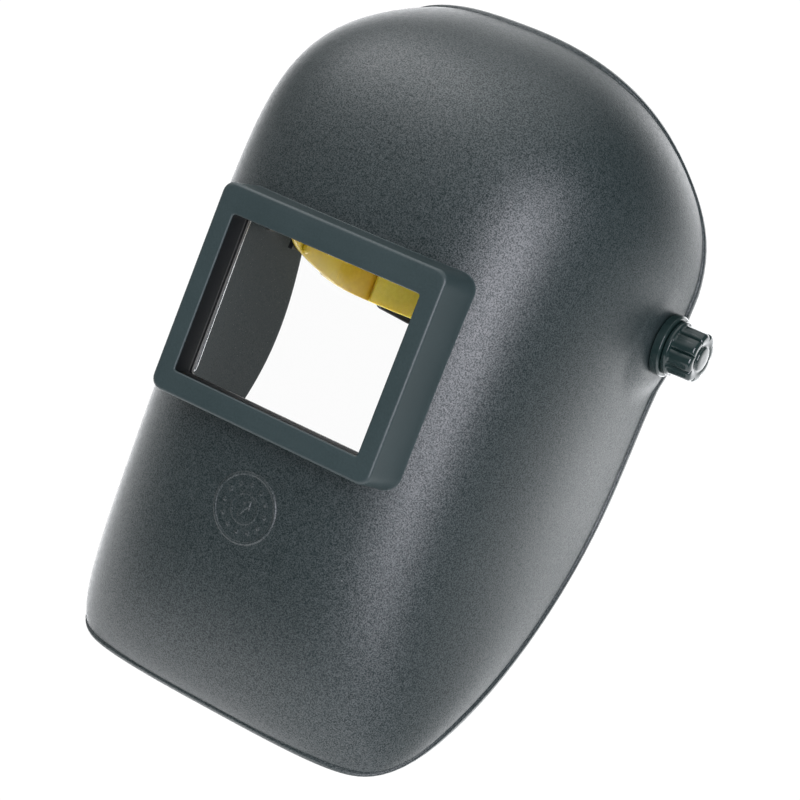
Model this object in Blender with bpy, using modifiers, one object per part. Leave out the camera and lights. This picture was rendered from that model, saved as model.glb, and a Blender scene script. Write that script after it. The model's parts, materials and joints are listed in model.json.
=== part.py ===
# Welding helmet with a hinged shell on an adjustable headgear.
#
# Drawing coordinates are millimetres from the middle of the window frame's
# front face: +X to the wearer's left, +Y into the helmet, +Z up.  The finished
# object's origin is the middle of the line between the two temple pivots, so
# every point is moved by (0, -PIVOT_BACK, -PIVOT_UP) on the way out.
import bpy
import bmesh
import math
import numpy as np
from mathutils import Matrix, Vector

MM = 0.001
PIVOT_BACK = 144.4          # window face to pivot axis
PIVOT_UP = 52.4             # window centre to pivot axis

# ---- shell: stations from the chin (0) over the face to the crown (1)
STATIONS = [0.0, 0.2, 0.4, 0.6, 0.8, 1.0]
FACE_LINE = [(54, -189), (33, -165), (16.3, -90), (14.5, 40), (31.5, 127), (97, 169.5)]       # back, up, on the centre plane
SIDE_RIM = [(64, -185), (120, -135.5), (168, -49), (168, 21.5), (165.5, 80), (174, 116.5)]    # back, up, at the side edge
HALF_WIDTH = [81, 105.7, 106.4, 108.6, 112.7, 89.3]
EDGE_STATIONS = [0.0, 0.45, 1.0]
BULGE_X = [3.0, 3.0, 2.5]
BULGE_Y = [2.55, 3.75, 2.35]
SHELL_WALL = 2.5
CORNER_POWER = 6.0
BOSS_X = 112.0              # outer face of the flat round the pivot hole
PIVOT_HOLE = 3.6

# ---- window
OPEN_W, OPEN_H = 52.6, 38.9
FACE_SIDE, FACE_TOP, FACE_BOTTOM = 62.7, 52.7, -50.3
BASE_SIDE, BASE_TOP, BASE_BOTTOM = 65.2, 53.9, -51.6
CUT_W, CUT_H, CUT_Z = 60.5, 49.5, 1.0
SPIGOT_W, SPIGOT_H = 60.1, 49.1
SPIGOT_WALL = 2.5
LIP_DEPTH = 13.0
PLATE_W, PLATE_H, PLATE_T = 110.0, 90.0, 1.0
GAP = 0.5

# ---- headgear
BAND_X = 80.0               # half width at the middle of the band's wall
BAND_FRONT, BAND_MID, BAND_TURN, BAND_REAR = 55.0, 118.0, 178.0, 235.0
BAND_WALL = 2.0
BAND_END = 162.0
STRAP_TIP = 145.0

TILT_RANGE = 70.0


def out(x, y, z):
    return ((x) * MM, (y - PIVOT_BACK) * MM, (z - PIVOT_UP) * MM)


# ------------------------------------------------------------- scene set-up
for ob in list(bpy.data.objects):
    bpy.data.objects.remove(ob, do_unlink=True)

parts_coll = bpy.data.collections.new("welding_helmet")
cut_coll = bpy.data.collections.new("cutters")
bpy.context.scene.collection.children.link(parts_coll)
bpy.context.scene.collection.children.link(cut_coll)


def material(name, colour, rough, metal=0.0):
    m = bpy.data.materials.new(name)
    m.use_nodes = True
    b = m.node_tree.nodes["Principled BSDF"]
    b.inputs["Base Color"].default_value = (colour[0], colour[1], colour[2], 1.0)
    b.inputs["Roughness"].default_value = rough
    b.inputs["Metallic"].default_value = metal
    return m


SHELL_MAT = material("shell_grained", (0.040, 0.055, 0.055), 0.55)
FRAME_MAT = material("frame_satin", (0.035, 0.055, 0.055), 0.42)
GLOSS_MAT = material("knob_gloss", (0.012, 0.022, 0.021), 0.18)
BLACK_MAT = material("black_plastic", (0.015, 0.017, 0.017), 0.40)
YELLOW_MAT = material("strap_yellow", (0.46, 0.36, 0.06), 0.45)
STEEL_MAT = material("steel", (0.55, 0.56, 0.57), 0.30, 1.0)
BRASS_MAT = material("brass", (0.60, 0.43, 0.18), 0.30, 1.0)
RUBBER_MAT = material("rubber", (0.02, 0.02, 0.02), 0.80)
FOAM_MAT = material("pad_fabric", (0.03, 0.03, 0.032), 0.95)
CLEAR_MAT = material("clear_plate", (0.80, 0.85, 0.84), 0.05)


# ------------------------------------------------------------------ helpers
def place(ob, mat, coll=None, origin=None):
    """Put an object in its collection; origin (drawing mm) becomes its origin."""
    for c in list(ob.users_collection):
        c.objects.unlink(ob)
    (coll or parts_coll).objects.link(ob)
    if mat is not None:
        ob.data.materials.clear()
        ob.data.materials.append(mat)
    if origin is not None:
        o = Vector(out(*origin))
        shift = o - ob.location
        inv = ob.matrix_basis.to_3x3().inverted()
        ob.data.transform(Matrix.Translation(-(inv @ shift)))
        ob.location = o
    return ob


def from_bmesh(name, bm, mat, coll=None):
    me = bpy.data.meshes.new(name)
    bm.normal_update()
    bm.to_mesh(me)
    bm.free()
    ob = bpy.data.objects.new(name, me)
    bpy.context.scene.collection.objects.link(ob)
    return place(ob, mat, coll)


def smooth(ob, angle=35.0):
    ob.data.shade_smooth()
    ob.data.set_sharp_from_angle(angle=math.radians(angle))
    return ob


def axis_matrix(axis):
    """Rotation taking local XY(Z) to the plane square to the named axis."""
    if axis == "X":
        return Matrix(((0, 0, 1), (1, 0, 0), (0, 1, 0)))
    if axis == "-X":
        return Matrix(((0, 0, -1), (-1, 0, 0), (0, 1, 0)))
    if axis == "Y":
        return Matrix(((-1, 0, 0), (0, 0, 1), (0, 1, 0)))
    return Matrix.Identity(3)


def turned(name, profile, mat, centre, axis="Z", steps=24, coll=None):
    """Profile (radius, height) in mm, run down its outer side, turned about axis."""
    me = bpy.data.meshes.new(name)
    vs = [(r * MM, 0.0, h * MM) for r, h in profile]
    closed = min(r for r, h in profile) > 1e-6
    n = len(vs)
    es = [(i, i + 1) for i in range(n - 1)] + ([(n - 1, 0)] if closed else [])
    me.from_pydata(vs, es, [])
    ob = bpy.data.objects.new(name, me)
    bpy.context.scene.collection.objects.link(ob)
    s = ob.modifiers.new("turn", "SCREW")
    s.axis = "Z"
    s.angle = 2 * math.pi
    s.steps = steps
    s.render_steps = steps
    s.use_merge_vertices = True
    s.merge_threshold = 0.00005
    s.use_smooth_shade = True
    ob.matrix_basis = Matrix.Translation(out(*centre)) @ axis_matrix(axis).to_4x4()
    return place(ob, mat, coll)


def plate(name, outlines, thick, mat, centre, axis="Z", coll=None, bevel=0.0):
    """Flat outline(s) in mm, extruded to a thickness, square to axis."""
    cu = bpy.data.curves.new(name, "CURVE")
    cu.dimensions = "2D"
    cu.fill_mode = "BOTH"
    cu.extrude = thick * 0.5 * MM
    for pts in outlines:
        sp = cu.splines.new("POLY")
        sp.points.add(len(pts) - 1)
        for p, q in zip(sp.points, pts):
            p.co = (q[0] * MM, q[1] * MM, 0.0, 1.0)
        sp.use_cyclic_u = True
    ob = bpy.data.objects.new(name, cu)
    bpy.context.scene.collection.objects.link(ob)
    ob.matrix_basis = Matrix.Translation(out(*centre)) @ axis_matrix(axis).to_4x4()
    return place(ob, mat, coll)


def to_mesh(ob):
    """A curve object made a mesh with its caps welded, ready for Booleans."""
    dg = bpy.context.evaluated_depsgraph_get()
    dg.update()
    me = bpy.data.meshes.new_from_object(ob.evaluated_get(dg))
    bm = bmesh.new()
    bm.from_mesh(me)
    bmesh.ops.remove_doubles(bm, verts=bm.verts, dist=1e-6)
    bmesh.ops.recalc_face_normals(bm, faces=bm.faces)
    bm.to_mesh(me)
    bm.free()
    name, mw, coll = ob.name, ob.matrix_basis.copy(), ob.users_collection[0]
    mat = ob.data.materials[0] if ob.data.materials else None
    bpy.data.objects.remove(ob, do_unlink=True)
    new = bpy.data.objects.new(name, me)
    new.matrix_basis = mw
    coll.objects.link(new)
    me.materials.clear()
    if mat is not None:
        me.materials.append(mat)
    return new


def block(name, size, centre, mat=None, coll=None, bevel=0.0):
    bm = bmesh.new()
    bmesh.ops.create_cube(bm, size=1.0)
    bmesh.ops.scale(bm, verts=bm.verts, vec=(size[0] * MM, size[1] * MM, size[2] * MM))
    ob = from_bmesh(name, bm, mat, coll)
    ob.location = out(*centre)
    if bevel:
        b = ob.modifiers.new("edges", "BEVEL")
        b.width = bevel * MM
        b.segments = 2
    return ob


def rod(name, r, length, centre, axis, steps=24, mat=None, coll=None):
    bm = bmesh.new()
    bmesh.ops.create_cone(bm, cap_ends=True, segments=steps, radius1=r * MM, radius2=r * MM, depth=length * MM)
    ob = from_bmesh(name, bm, mat, coll)
    ob.matrix_basis = Matrix.Translation(out(*centre)) @ axis_matrix(axis).to_4x4()
    return ob


def cutter(ob):
    ob.hide_render = True
    ob.display_type = "WIRE"
    return ob


def boolean(ob, other, op="DIFFERENCE"):
    cutter(other)
    m = ob.modifiers.new(op.lower(), "BOOLEAN")
    m.operation = op
    m.solver = "EXACT"
    m.object = other
    return m


def circle(r, n=24, cx=0.0, cy=0.0):
    return [(cx + r * math.cos(2 * math.pi * i / n), cy + r * math.sin(2 * math.pi * i / n)) for i in range(n)]


def round_rect(w, h, r, seg=4, cx=0.0, cy=0.0):
    pts = []
    for sx, sy, a0 in ((1, 1, 0), (-1, 1, 90), (-1, -1, 180), (1, -1, 270)):
        for k in range(seg + 1):
            a = math.radians(a0 + 90.0 * k / seg)
            pts.append((cx + sx * (w - r) + r * math.cos(a), cy + sy * (h - r) + r * math.sin(a)))
    return pts


def lobed(r, depth, lobes, per=8):
    """Grip outline: broad ribs with narrow scalloped grooves between them."""
    pts = []
    for i in range(lobes * per):
        a = 2 * math.pi * i / (lobes * per)
        c = math.cos(lobes * a)
        g = max(0.0, (-c - 0.2) / 0.8)
        pts.append(((r - depth * g) * math.cos(a), (r - depth * g) * math.sin(a)))
    return pts


def hull_two(c1, r1, c2, r2, seg=12):
    """Outline of two round ends joined by their tangents."""
    dx, dy = c2[0] - c1[0], c2[1] - c1[1]
    d = math.hypot(dx, dy)
    base = math.atan2(dy, dx)
    off = math.acos((r1 - r2) / d)
    pts = []
    for k in range(seg + 1):
        a = base + off + (2 * math.pi - 2 * off) * k / seg
        pts.append((c1[0] + r1 * math.cos(a), c1[1] + r1 * math.sin(a)))
    for k in range(seg + 1):
        a = base - off + (2 * off) * k / seg
        pts.append((c2[0] + r2 * math.cos(a), c2[1] + r2 * math.sin(a)))
    return pts


# ----------------------------------------------------------- shell surface
def spline(knots, values):
    """Not-a-knot cubic through the stations; returns a function of v."""
    x, y = np.array(knots, float), np.array(values, float)
    n = len(x) - 1
    h = np.diff(x)
    A = np.zeros((n + 1, n + 1))
    b = np.zeros(n + 1)
    for i in range(1, n):
        A[i, i - 1], A[i, i], A[i, i + 1] = h[i - 1], 2 * (h[i - 1] + h[i]), h[i]
        b[i] = 6 * ((y[i + 1] - y[i]) / h[i] - (y[i] - y[i - 1]) / h[i - 1])
    A[0, 0], A[0, 1], A[0, 2] = h[1], -(h[0] + h[1]), h[0]
    A[n, n - 2], A[n, n - 1], A[n, n] = h[n - 1], -(h[n - 2] + h[n - 1]), h[n - 2]
    m = np.linalg.solve(A, b)

    def f(v):
        v = np.asarray(v, float)
        i = np.clip(np.searchsorted(x, v, side="right") - 1, 0, n - 1)
        a, c = x[i + 1] - v, v - x[i]
        return (m[i] * a ** 3 + m[i + 1] * c ** 3) / (6 * h[i]) + (y[i] / h[i] - m[i] * h[i] / 6) * a + (y[i + 1] / h[i] - m[i + 1] * h[i] / 6) * c
    return f


def ease(knots, values):
    """Smooth step between three stations."""
    def f(v):
        v = np.asarray(v, float)
        lo = np.clip((v - knots[0]) / (knots[1] - knots[0]), 0, 1)
        hi = np.clip((v - knots[1]) / (knots[2] - knots[1]), 0, 1)
        lo, hi = lo * lo * (3 - 2 * lo), hi * hi * (3 - 2 * hi)
        return values[0] + (values[1] - values[0]) * lo + (values[2] - values[1]) * hi
    return f


F_Y = spline(STATIONS, [p[0] for p in FACE_LINE])
F_Z = spline(STATIONS, [p[1] for p in FACE_LINE])
R_Y = spline(STATIONS, [p[0] for p in SIDE_RIM])
R_Z = spline(STATIONS, [p[1] for p in SIDE_RIM])
H_W = spline(STATIONS, HALF_WIDTH)
B_X = ease(EDGE_STATIONS, BULGE_X)
B_Y = ease(EDGE_STATIONS, BULGE_Y)


def shell_point(U, V):
    U, V = np.asarray(U, float), np.asarray(V, float)
    t = np.clip(np.abs(U), 0, 1) * math.pi / 2
    x = np.sign(U) * H_W(V) * np.abs(np.sin(t)) ** (2 / B_X(V))
    h = 1 - np.abs(np.cos(t)) ** (2 / B_Y(V))
    y = F_Y(V) + (R_Y(V) - F_Y(V)) * h
    z = F_Z(V) + (R_Z(V) - F_Z(V)) * h
    # flat round the pivot hole
    r = np.hypot(y - PIVOT_BACK, z - PIVOT_UP)
    w = np.clip((32 - r) / 14, 0, 1)
    w = w * w * (3 - 2 * w) * (np.abs(x) > 90)
    x = x + (np.sign(x) * BOSS_X - x) * w
    return np.stack([x, y, z], -1)


def shell_uv(x, z):
    """The surface parameters over a point of the front view."""
    x, z = np.asarray(x, float), np.asarray(z, float)
    lo, hi = np.full(x.shape, 0.08), np.full(x.shape, 0.92)
    for _ in range(50):
        v = (lo + hi) / 2
        t = np.arcsin(np.clip(np.abs(x) / H_W(v), 0, 1) ** (B_X(v) / 2))
        h = 1 - np.cos(t) ** (2 / B_Y(v))
        zz = F_Z(v) + (R_Z(v) - F_Z(v)) * h
        up = zz > z
        hi, lo = np.where(up, v, hi), np.where(up, lo, v)
    v = (lo + hi) / 2
    t = np.arcsin(np.clip(np.abs(x) / H_W(v), 0, 1) ** (B_X(v) / 2))
    return np.sign(x) * t / (math.pi / 2), v


def shell_front(x, z):
    u, v = shell_uv(x, z)
    return shell_point(u, v)[..., 1]


def rect_ray(ang, w, h, r):
    """Distance from the centre to a rounded rectangle along each direction of a square fan."""
    c, s = np.cos(ang), np.sin(ang)
    k = 1.0 / np.maximum(np.abs(c), np.abs(s))
    x, y = w * c * k, h * s * k
    ax, ay = np.abs(x), np.abs(y)
    cx, cy = w - r, h - r
    inc = (ax > cx) & (ay > cy)
    px, py = ax - cx, ay - cy
    d = np.hypot(px, py)
    q = np.where(inc & (d > 0), r / np.maximum(d, 1e-9), 1.0)
    ax = np.where(inc, cx + px * q, ax)
    ay = np.where(inc, cy + py * q, ay)
    return np.sign(x) * ax, np.sign(y) * ay


def fan(near, n_mid):
    """Directions round the window: close together at the corners, even between."""
    near = sorted(set([-a for a in near] + list(near)))
    quarter = [45 + a for a in near]
    first, last = quarter[0] + 90, quarter[-1]
    quarter += [last + (first - last) * k / (n_mid + 1) for k in range(1, n_mid + 1)]
    return np.radians([q + 90 * k for k in range(4) for q in quarter])


def shell_grid(ang, rows_mm_from_rim, n_main, bead):
    n_around = len(ang)
    wx, wz = rect_ray(ang, CUT_W - 4.5, CUT_H - 4.5, 4.0)
    wu, wv = shell_uv(wx, wz + CUT_Z)
    c, s = np.cos(ang), np.sin(ang)
    rad = (np.abs(c) ** CORNER_POWER + np.abs(s) ** CORNER_POWER) ** (-1 / CORNER_POWER)
    ru, rv = rad * c, (rad * s + 1) / 2
    m = 400
    k = np.linspace(0, 1, m)[:, None]
    P = shell_point(wu + (ru - wu) * k, wv + (rv - wv) * k)
    length = np.concatenate([np.zeros((1, n_around)), np.cumsum(np.linalg.norm(np.diff(P, axis=0), axis=-1), axis=0)])
    grid = np.zeros((n_main + len(rows_mm_from_rim), n_around, 3))
    for i in range(n_around):
        L = length[-1, i]
        s_main = np.linspace(0, 1, n_main, endpoint=False) * (L - rows_mm_from_rim[0])
        s_all = np.concatenate([s_main, L - np.array(rows_mm_from_rim)])
        kk = np.interp(s_all, length[:, i], k[:, 0])
        grid[:, i] = shell_point(wu[i] + (ru[i] - wu[i]) * kk, wv[i] + (rv[i] - wv[i]) * kk)
    # outward normals from neighbours
    du = np.roll(grid, -1, axis=1) - np.roll(grid, 1, axis=1)
    dr = np.gradient(grid, axis=0)
    nrm = np.cross(du, dr)
    nrm /= np.maximum(np.linalg.norm(nrm, axis=-1, keepdims=True), 1e-9)
    sign = np.sign(np.sum(nrm * (grid - np.array([0, 110.0, 0])), axis=-1).mean())
    nrm *= sign
    for j, off in enumerate(bead):
        grid[n_main + j] += nrm[n_main + j] * off
    return grid, sign


def grid_mesh(name, grid, wrap=True):
    """A grid primitive wrapped round the window and laid on the surface."""
    rows, cols = grid.shape[0], grid.shape[1]
    bm = bmesh.new()
    bmesh.ops.create_grid(bm, x_segments=cols if wrap else cols - 1, y_segments=rows - 1, size=0.5)
    bm.verts.ensure_lookup_table()
    nx = cols if wrap else cols - 1
    for v in bm.verts:
        i = int(round((v.co.x + 0.5) * nx))
        j = int(round((v.co.y + 0.5) * (rows - 1)))
        v.co = Vector(out(*grid[j, i % cols if wrap else i]))
    bmesh.ops.remove_doubles(bm, verts=bm.verts, dist=1e-6)
    return bm


# ------------------------------------------------------------------- shell
RIM_ROWS = [6.5, 4.4, 2.2, 0.0]
RIM_BEAD = [0.0, -0.3, 1.4, 0.7]
grid, _ = shell_grid(fan((0, 3, 7, 12, 19), 5), RIM_ROWS, 9, RIM_BEAD)
bm = grid_mesh("shell", grid)
bm.normal_update()
out_sum = sum(f.normal.dot(f.calc_center_median() - Vector(out(0, 110, 0))) * f.calc_area() for f in bm.faces)
if out_sum < 0:
    bmesh.ops.reverse_faces(bm, faces=bm.faces)
shell = from_bmesh("shell", bm, SHELL_MAT)
sol = shell.modifiers.new("wall", "SOLIDIFY")
sol.thickness = SHELL_WALL * MM
sol.offset = -1.0
sol.use_even_offset = True
boolean(shell, to_mesh(plate("window_cut", [round_rect(CUT_W, CUT_H, 6.0, 5, cy=CUT_Z)], 90, None, (0, 20, 0), "Y", cut_coll)))
for sx in (1, -1):
    hole = rod("pivot_hole_cut_%d" % sx, PIVOT_HOLE, 20, (sx * BOSS_X, PIVOT_BACK, PIVOT_UP), "X", coll=cut_coll)
    boolean(shell, hole)
    a = math.radians(125)
    rib = block("stop_rib_%d" % sx, (6.0, 3.0, 4.0), (sx * 107.6, PIVOT_BACK + 15.8 * math.cos(a), PIVOT_UP + 15.8 * math.sin(a)), coll=cut_coll)
    rib.rotation_euler = (a, 0, 0)
    boolean(shell, rib, "UNION")
smooth(shell, 40)


# ------------------------------------------------------------ window frame
def frame_loops(ang):
    zc_face, hh_face = (FACE_TOP + FACE_BOTTOM) / 2, (FACE_TOP - FACE_BOTTOM) / 2
    zc_base, hh_base = (BASE_TOP + BASE_BOTTOM) / 2, (BASE_TOP - BASE_BOTTOM) / 2

    def ring(w, h, r, zc, y):
        x, z = rect_ray(ang, w, h, r)
        z = z + zc
        yy = y(x, z) if callable(y) else np.full_like(x, y)
        return np.stack([x, yy, z], -1)
    on_shell = lambda x, z: shell_front(x, z) - GAP
    behind = lambda x, z: shell_front(x, z) + SHELL_WALL + 2.2
    e = 1.2
    loops = [
        ring(OPEN_W, OPEN_H, 1.2, 0.0, 0.0),
        ring(FACE_SIDE - e, hh_face - e, 5.0, zc_face, 0.0),
        ring(FACE_SIDE, hh_face, 6.0, zc_face, e + 0.2),
        ring(BASE_SIDE, hh_base, 8.0, zc_base, on_shell),
        ring(SPIGOT_W, SPIGOT_H, 5.6, CUT_Z, on_shell),
        ring(SPIGOT_W, SPIGOT_H, 5.6, CUT_Z, behind),
        ring(SPIGOT_W - SPIGOT_WALL, SPIGOT_H - SPIGOT_WALL, 3.4, CUT_Z, behind),
        ring(SPIGOT_W - SPIGOT_WALL, SPIGOT_H - SPIGOT_WALL, 3.4, CUT_Z, 3.2),
        ring(OPEN_W + 3.0, OPEN_H + 3.0, 2.5, 0.0, 3.2),
        ring(OPEN_W + 3.0, OPEN_H + 3.0, 2.5, 0.0, LIP_DEPTH),
        ring(OPEN_W, OPEN_H, 1.0, 0.0, LIP_DEPTH),
    ]
    return loops


loops = np.array(frame_loops(fan((0, 1.5, 3.4, 6.0), 8)))
bm = bmesh.new()
nl, na = loops.shape[0], loops.shape[1]
vs = [[bm.verts.new(out(*loops[j, i])) for i in range(na)] for j in range(nl)]
for j in range(nl):
    for i in range(na):
        bm.faces.new((vs[j][i], vs[j][(i + 1) % na], vs[(j + 1) % nl][(i + 1) % na], vs[(j + 1) % nl][i]))
bmesh.ops.recalc_face_normals(bm, faces=bm.faces)
window_frame = from_bmesh("window_frame", bm, FRAME_MAT)
BAIL_Y, BAIL_Z = 21.6, -39.0
for sx in (1, -1):
    boolean(window_frame, rod("bail_hole_cut_%d" % sx, 1.4, 12, (sx * 60.0, BAIL_Y, BAIL_Z), "X", 12, coll=cut_coll))
smooth(window_frame, 30)

# ---------------------------------------------- plates behind the window
plate("plate_gasket", [round_rect(OPEN_W + 2.8, OPEN_H + 2.8, 2.0), round_rect(OPEN_W + 0.5, OPEN_H + 0.5, 1.0)],
      0.9, RUBBER_MAT, (0, LIP_DEPTH + 0.8, 0), "Y")
plate("cover_plate", [round_rect(PLATE_W / 2, PLATE_H / 2, 1.5)], PLATE_T, CLEAR_MAT, (0, LIP_DEPTH + 2.15, 0.6), "Y")
plate("plate_retainer", [round_rect(56.6, 45.9, 3.0, cy=0.5), round_rect(OPEN_W + 0.7, OPEN_H + 0.7, 2.0)],
      1.8, BLACK_MAT, (0, LIP_DEPTH + 4.3, 0), "Y")

# wire bail that presses the plates forward, hinged in the frame's side walls
cu = bpy.data.curves.new("retaining_spring", "CURVE")
cu.dimensions = "3D"
cu.bevel_depth = 0.9 * MM
cu.bevel_resolution = 2
cu.use_fill_caps = True
half = [(59.4, BAIL_Y, BAIL_Z), (57.0, BAIL_Y, BAIL_Z), (55.9, BAIL_Y, BAIL_Z + 0.3), (55.3, BAIL_Y, BAIL_Z + 1.4), (55.2, BAIL_Y, BAIL_Z + 4),
        (55.2, 20.9, -10), (55.2, 20.2, 20), (55.2, 20.1, 37.5), (54.4, 20.1, 40.1), (51.8, 20.1, 41.0), (30, 20.1, 41.0)]
pts = [(x, y, z) for x, y, z in half] + [(-x, y, z) for x, y, z in reversed(half)]
sp = cu.splines.new("POLY")
sp.points.add(len(pts) - 1)
for p, q in zip(sp.points, pts):
    p.co = (q[0] * MM, (q[1] - BAIL_Y) * MM, (q[2] - BAIL_Z) * MM, 1.0)
bail = bpy.data.objects.new("retaining_spring", cu)
bpy.context.scene.collection.objects.link(bail)
bail.location = out(0, BAIL_Y, BAIL_Z)
place(bail, STEEL_MAT)

# ------------------------------------------------------- temple pivots
for side, sx in (("left", 1), ("right", -1)):
    ax = "X" if sx > 0 else "-X"
    c = lambda x: (sx * x, PIVOT_BACK, PIVOT_UP)
    # washer between the knob and the shell
    turned("knob_washer_" + side, [(13.6, 2.4), (15.6, 1.4), (15.6, -2.4), (3.6, -2.4), (3.6, 2.4)], GLOSS_MAT, c(BOSS_X + 0.6 + 2.4), ax, 32)
    # knob with eight ribs, blind pocket for its threaded insert
    knob = to_mesh(plate("pivot_knob_" + side, [lobed(12.6, 1.5, 8, 6)], 14.2, GLOSS_MAT, c(BOSS_X + 5.7 + 7.1), ax))
    pocket = rod("knob_pocket_" + side, 6.3, 12.4, c(BOSS_X + 5.7 + 5.6), ax, coll=cut_coll)
    boolean(knob, pocket)
    cap = rod("knob_cap_" + side, 6.0, 1.4, c(BOSS_X + 19.9 + 0.2), ax, coll=cut_coll)
    boolean(knob, cap, "UNION")
    # threaded insert
    turned("knob_insert_" + side, [(6.0, 5.2), (6.0, -5.2), (3.4, -5.2), (3.4, 5.2)], BRASS_MAT, c(BOSS_X + 6.1 + 5.2), ax)
    # bolt: head inside, shank through arm, stop, washers, shell and knob
    turned("pivot_bolt_" + side, [(0, 28.6), (2.6, 28.6), (3.0, 28.0), (3.0, 0.0), (8.0, 0.0), (8.0, -1.6), (6.4, -2.8), (0, -2.8)],
           STEEL_MAT, c(100.7), ax)
    # rubber friction washer against the shell's inner face
    turned("friction_washer_" + side, [(12.2, 1.1), (12.2, -1.1), (3.4, -1.1), (3.4, 1.1)], RUBBER_MAT, c(107.9), ax)
    # tilt stop: disc with a notch in which the shell's rib travels
    a0, a1 = 45.5, 134.5
    outline = []
    for k in range(25):
        a = math.radians(a1 + (360 - (a1 - a0)) * k / 24)
        outline.append((18.0 * math.cos(a), 18.0 * math.sin(a)))
    for k in range(9):
        a = math.radians(a0 + (a1 - a0) * k / 8)
        outline.append((13.4 * math.cos(a), 13.4 * math.sin(a)))
    outline = [(sx * y, z) for y, z in outline]
    if sx < 0:
        outline.reverse()
    plate("tilt_stop_" + side, [outline, circle(3.4)], 2.4, BLACK_MAT, c(105.5), ax)
    # side arm: pivot plate, stand-off and flange riveted to the band
    hub, pad = (0.0, 0.0), (120 - PIVOT_BACK, 39 - PIVOT_UP)
    o2 = [(sx * y, z) for y, z in hull_two(hub, 12.5, pad, 10.5)]
    if sx < 0:
        o2.reverse()
    arm = to_mesh(plate("side_arm_" + side, [o2], 3.0, BLACK_MAT, c(102.5), ax))
    boolean(arm, block("arm_post_" + side, (18.6, 7.0, 13.0), (sx * 92.6, 120.0, 39.0), coll=cut_coll), "UNION")
    boolean(arm, block("arm_flange_" + side, (2.4, 16.0, 28.0), (sx * 82.9, 120.0, 39.0), coll=cut_coll), "UNION")
    boolean(arm, rod("arm_bore_" + side, 3.4, 10, c(102.5), ax, coll=cut_coll))
    for level, z in (("upper", 49.7), ("lower", 28.3)):
        boolean(arm, rod("arm_hole_%s_%s" % (level, side), 2.4, 10, (sx * 82.9, 120.0, z), ax, 16, coll=cut_coll))
        turned("arm_rivet_%s_%s" % (level, side),
               [(0, 3.9), (2.4, 3.9), (3.6, 3.0), (3.6, 2.5), (2.0, 2.5), (2.0, -3.7), (3.6, -3.7), (3.6, -4.3), (2.6, -5.0), (0, -5.0)],
               STEEL_MAT, (sx * 82.0, 120.0, z), ax, 10)
    # stud that holds the crown strap's end to the band, flush outside
    turned("crown_stud_" + side, [(0, 2.3), (2.6, 2.3), (3.0, 1.9), (3.0, -2.1), (4.6, -2.1), (4.6, -2.8), (3.8, -3.5), (0, -3.5)],
           BLACK_MAT, (sx * 78.5, 142.0, 36.0), ax, 12)


# ------------------------------------------------------------------ bands
def band_low(y):
    """Lower edge of the head ring: high on the forehead, low at the nape."""
    s = np.clip((BAND_REAR - np.asarray(y, float)) / 180.0, 0, 1.05)
    return 7.0 + 46.0 * s ** 2.2


def front_path(off, end, n_arc, limit=1.0):
    """Front half of the ring: (x, y), from the wearer's left round the brow to the right."""
    pts = []
    if end is not None:
        pts += [(BAND_X + off, end), (BAND_X + off, (end + BAND_MID) / 2)]
    for k in range(n_arc + 1):
        a = math.pi * 0.5 * (1 - limit) + math.pi * limit * k / n_arc
        pts.append(((BAND_X + off) * math.cos(a), BAND_MID - (BAND_MID - BAND_FRONT + off) * math.sin(a)))
    if end is not None:
        pts += [(-(BAND_X + off), (end + BAND_MID) / 2), (-(BAND_X + off), end)]
    return pts


def ribbon(name, path, low, high, wall, mat, closed_bevel=0.0, normal_hint=None):
    """Open strip along a plan path between two heights, given a wall each side."""
    n = len(path)
    g = np.zeros((2, n, 3))
    for i, (x, y) in enumerate(path):
        g[0, i] = (x, y, low[i])
        g[1, i] = (x, y, high[i])
    bm = grid_mesh(name, g, wrap=False)
    bm.normal_update()
    c = Vector(out(*(normal_hint or (0, 130, 40))))
    if sum(f.normal.dot(f.calc_center_median() - c) for f in bm.faces) < 0:
        bmesh.ops.reverse_faces(bm, faces=bm.faces)
    ob = from_bmesh(name, bm, mat)
    s = ob.modifiers.new("wall", "SOLIDIFY")
    s.thickness = wall * MM
    s.offset = 0.0
    s.use_even_offset = True
    return ob


p = front_path(0.0, BAND_END, 32)
ys = np.array([q[1] for q in p])
brow = np.clip((110 - ys) / 55, 0, 1) * 4
headband = ribbon("headband_front", p, band_low(ys), band_low(ys) + 29 + brow, BAND_WALL, YELLOW_MAT)
for side, sx in (("left", 1), ("right", -1)):
    for z in (49.7, 28.3):
        boolean(headband, rod("band_hole_%s_%d" % (side, z), 2.4, 10, (sx * 80, 120.0, z), "X", 16, coll=cut_coll))
    boolean(headband, rod("band_stud_hole_%s" % side, 3.35, 10, (sx * 80, 142.0, 36.0), "X", 16, coll=cut_coll))
smooth(headband)

p = front_path(-3.6, None, 22, 0.66)
ys = np.array([q[1] for q in p])
sweat = ribbon("sweatband", p, band_low(ys) + 0.5, band_low(ys) + 32, 4.0, FOAM_MAT)
smooth(sweat)


def rear_path(off, turn_x, y_tip, x_end, n_arc=30, inner=0.0):
    """From a tip beside the temple, back and round the nape to x_end on the far side."""
    pts = [(turn_x, y_tip), (turn_x, (y_tip + BAND_TURN) / 2)]
    for k in range(n_arc + 1):
        a = math.pi * k / n_arc
        w = min(1.0, a / math.radians(50))
        d = off - inner * w * w * (3 - 2 * w)
        x, y = (turn_x + d - off) * math.cos(a), BAND_TURN + (BAND_REAR - BAND_TURN + 1.0 + d) * math.sin(a)
        if x < x_end:
            break
        pts.append((x, y))
    return pts


def mirror_path(pts):
    return [(-x, y) for x, y in pts]


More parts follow.
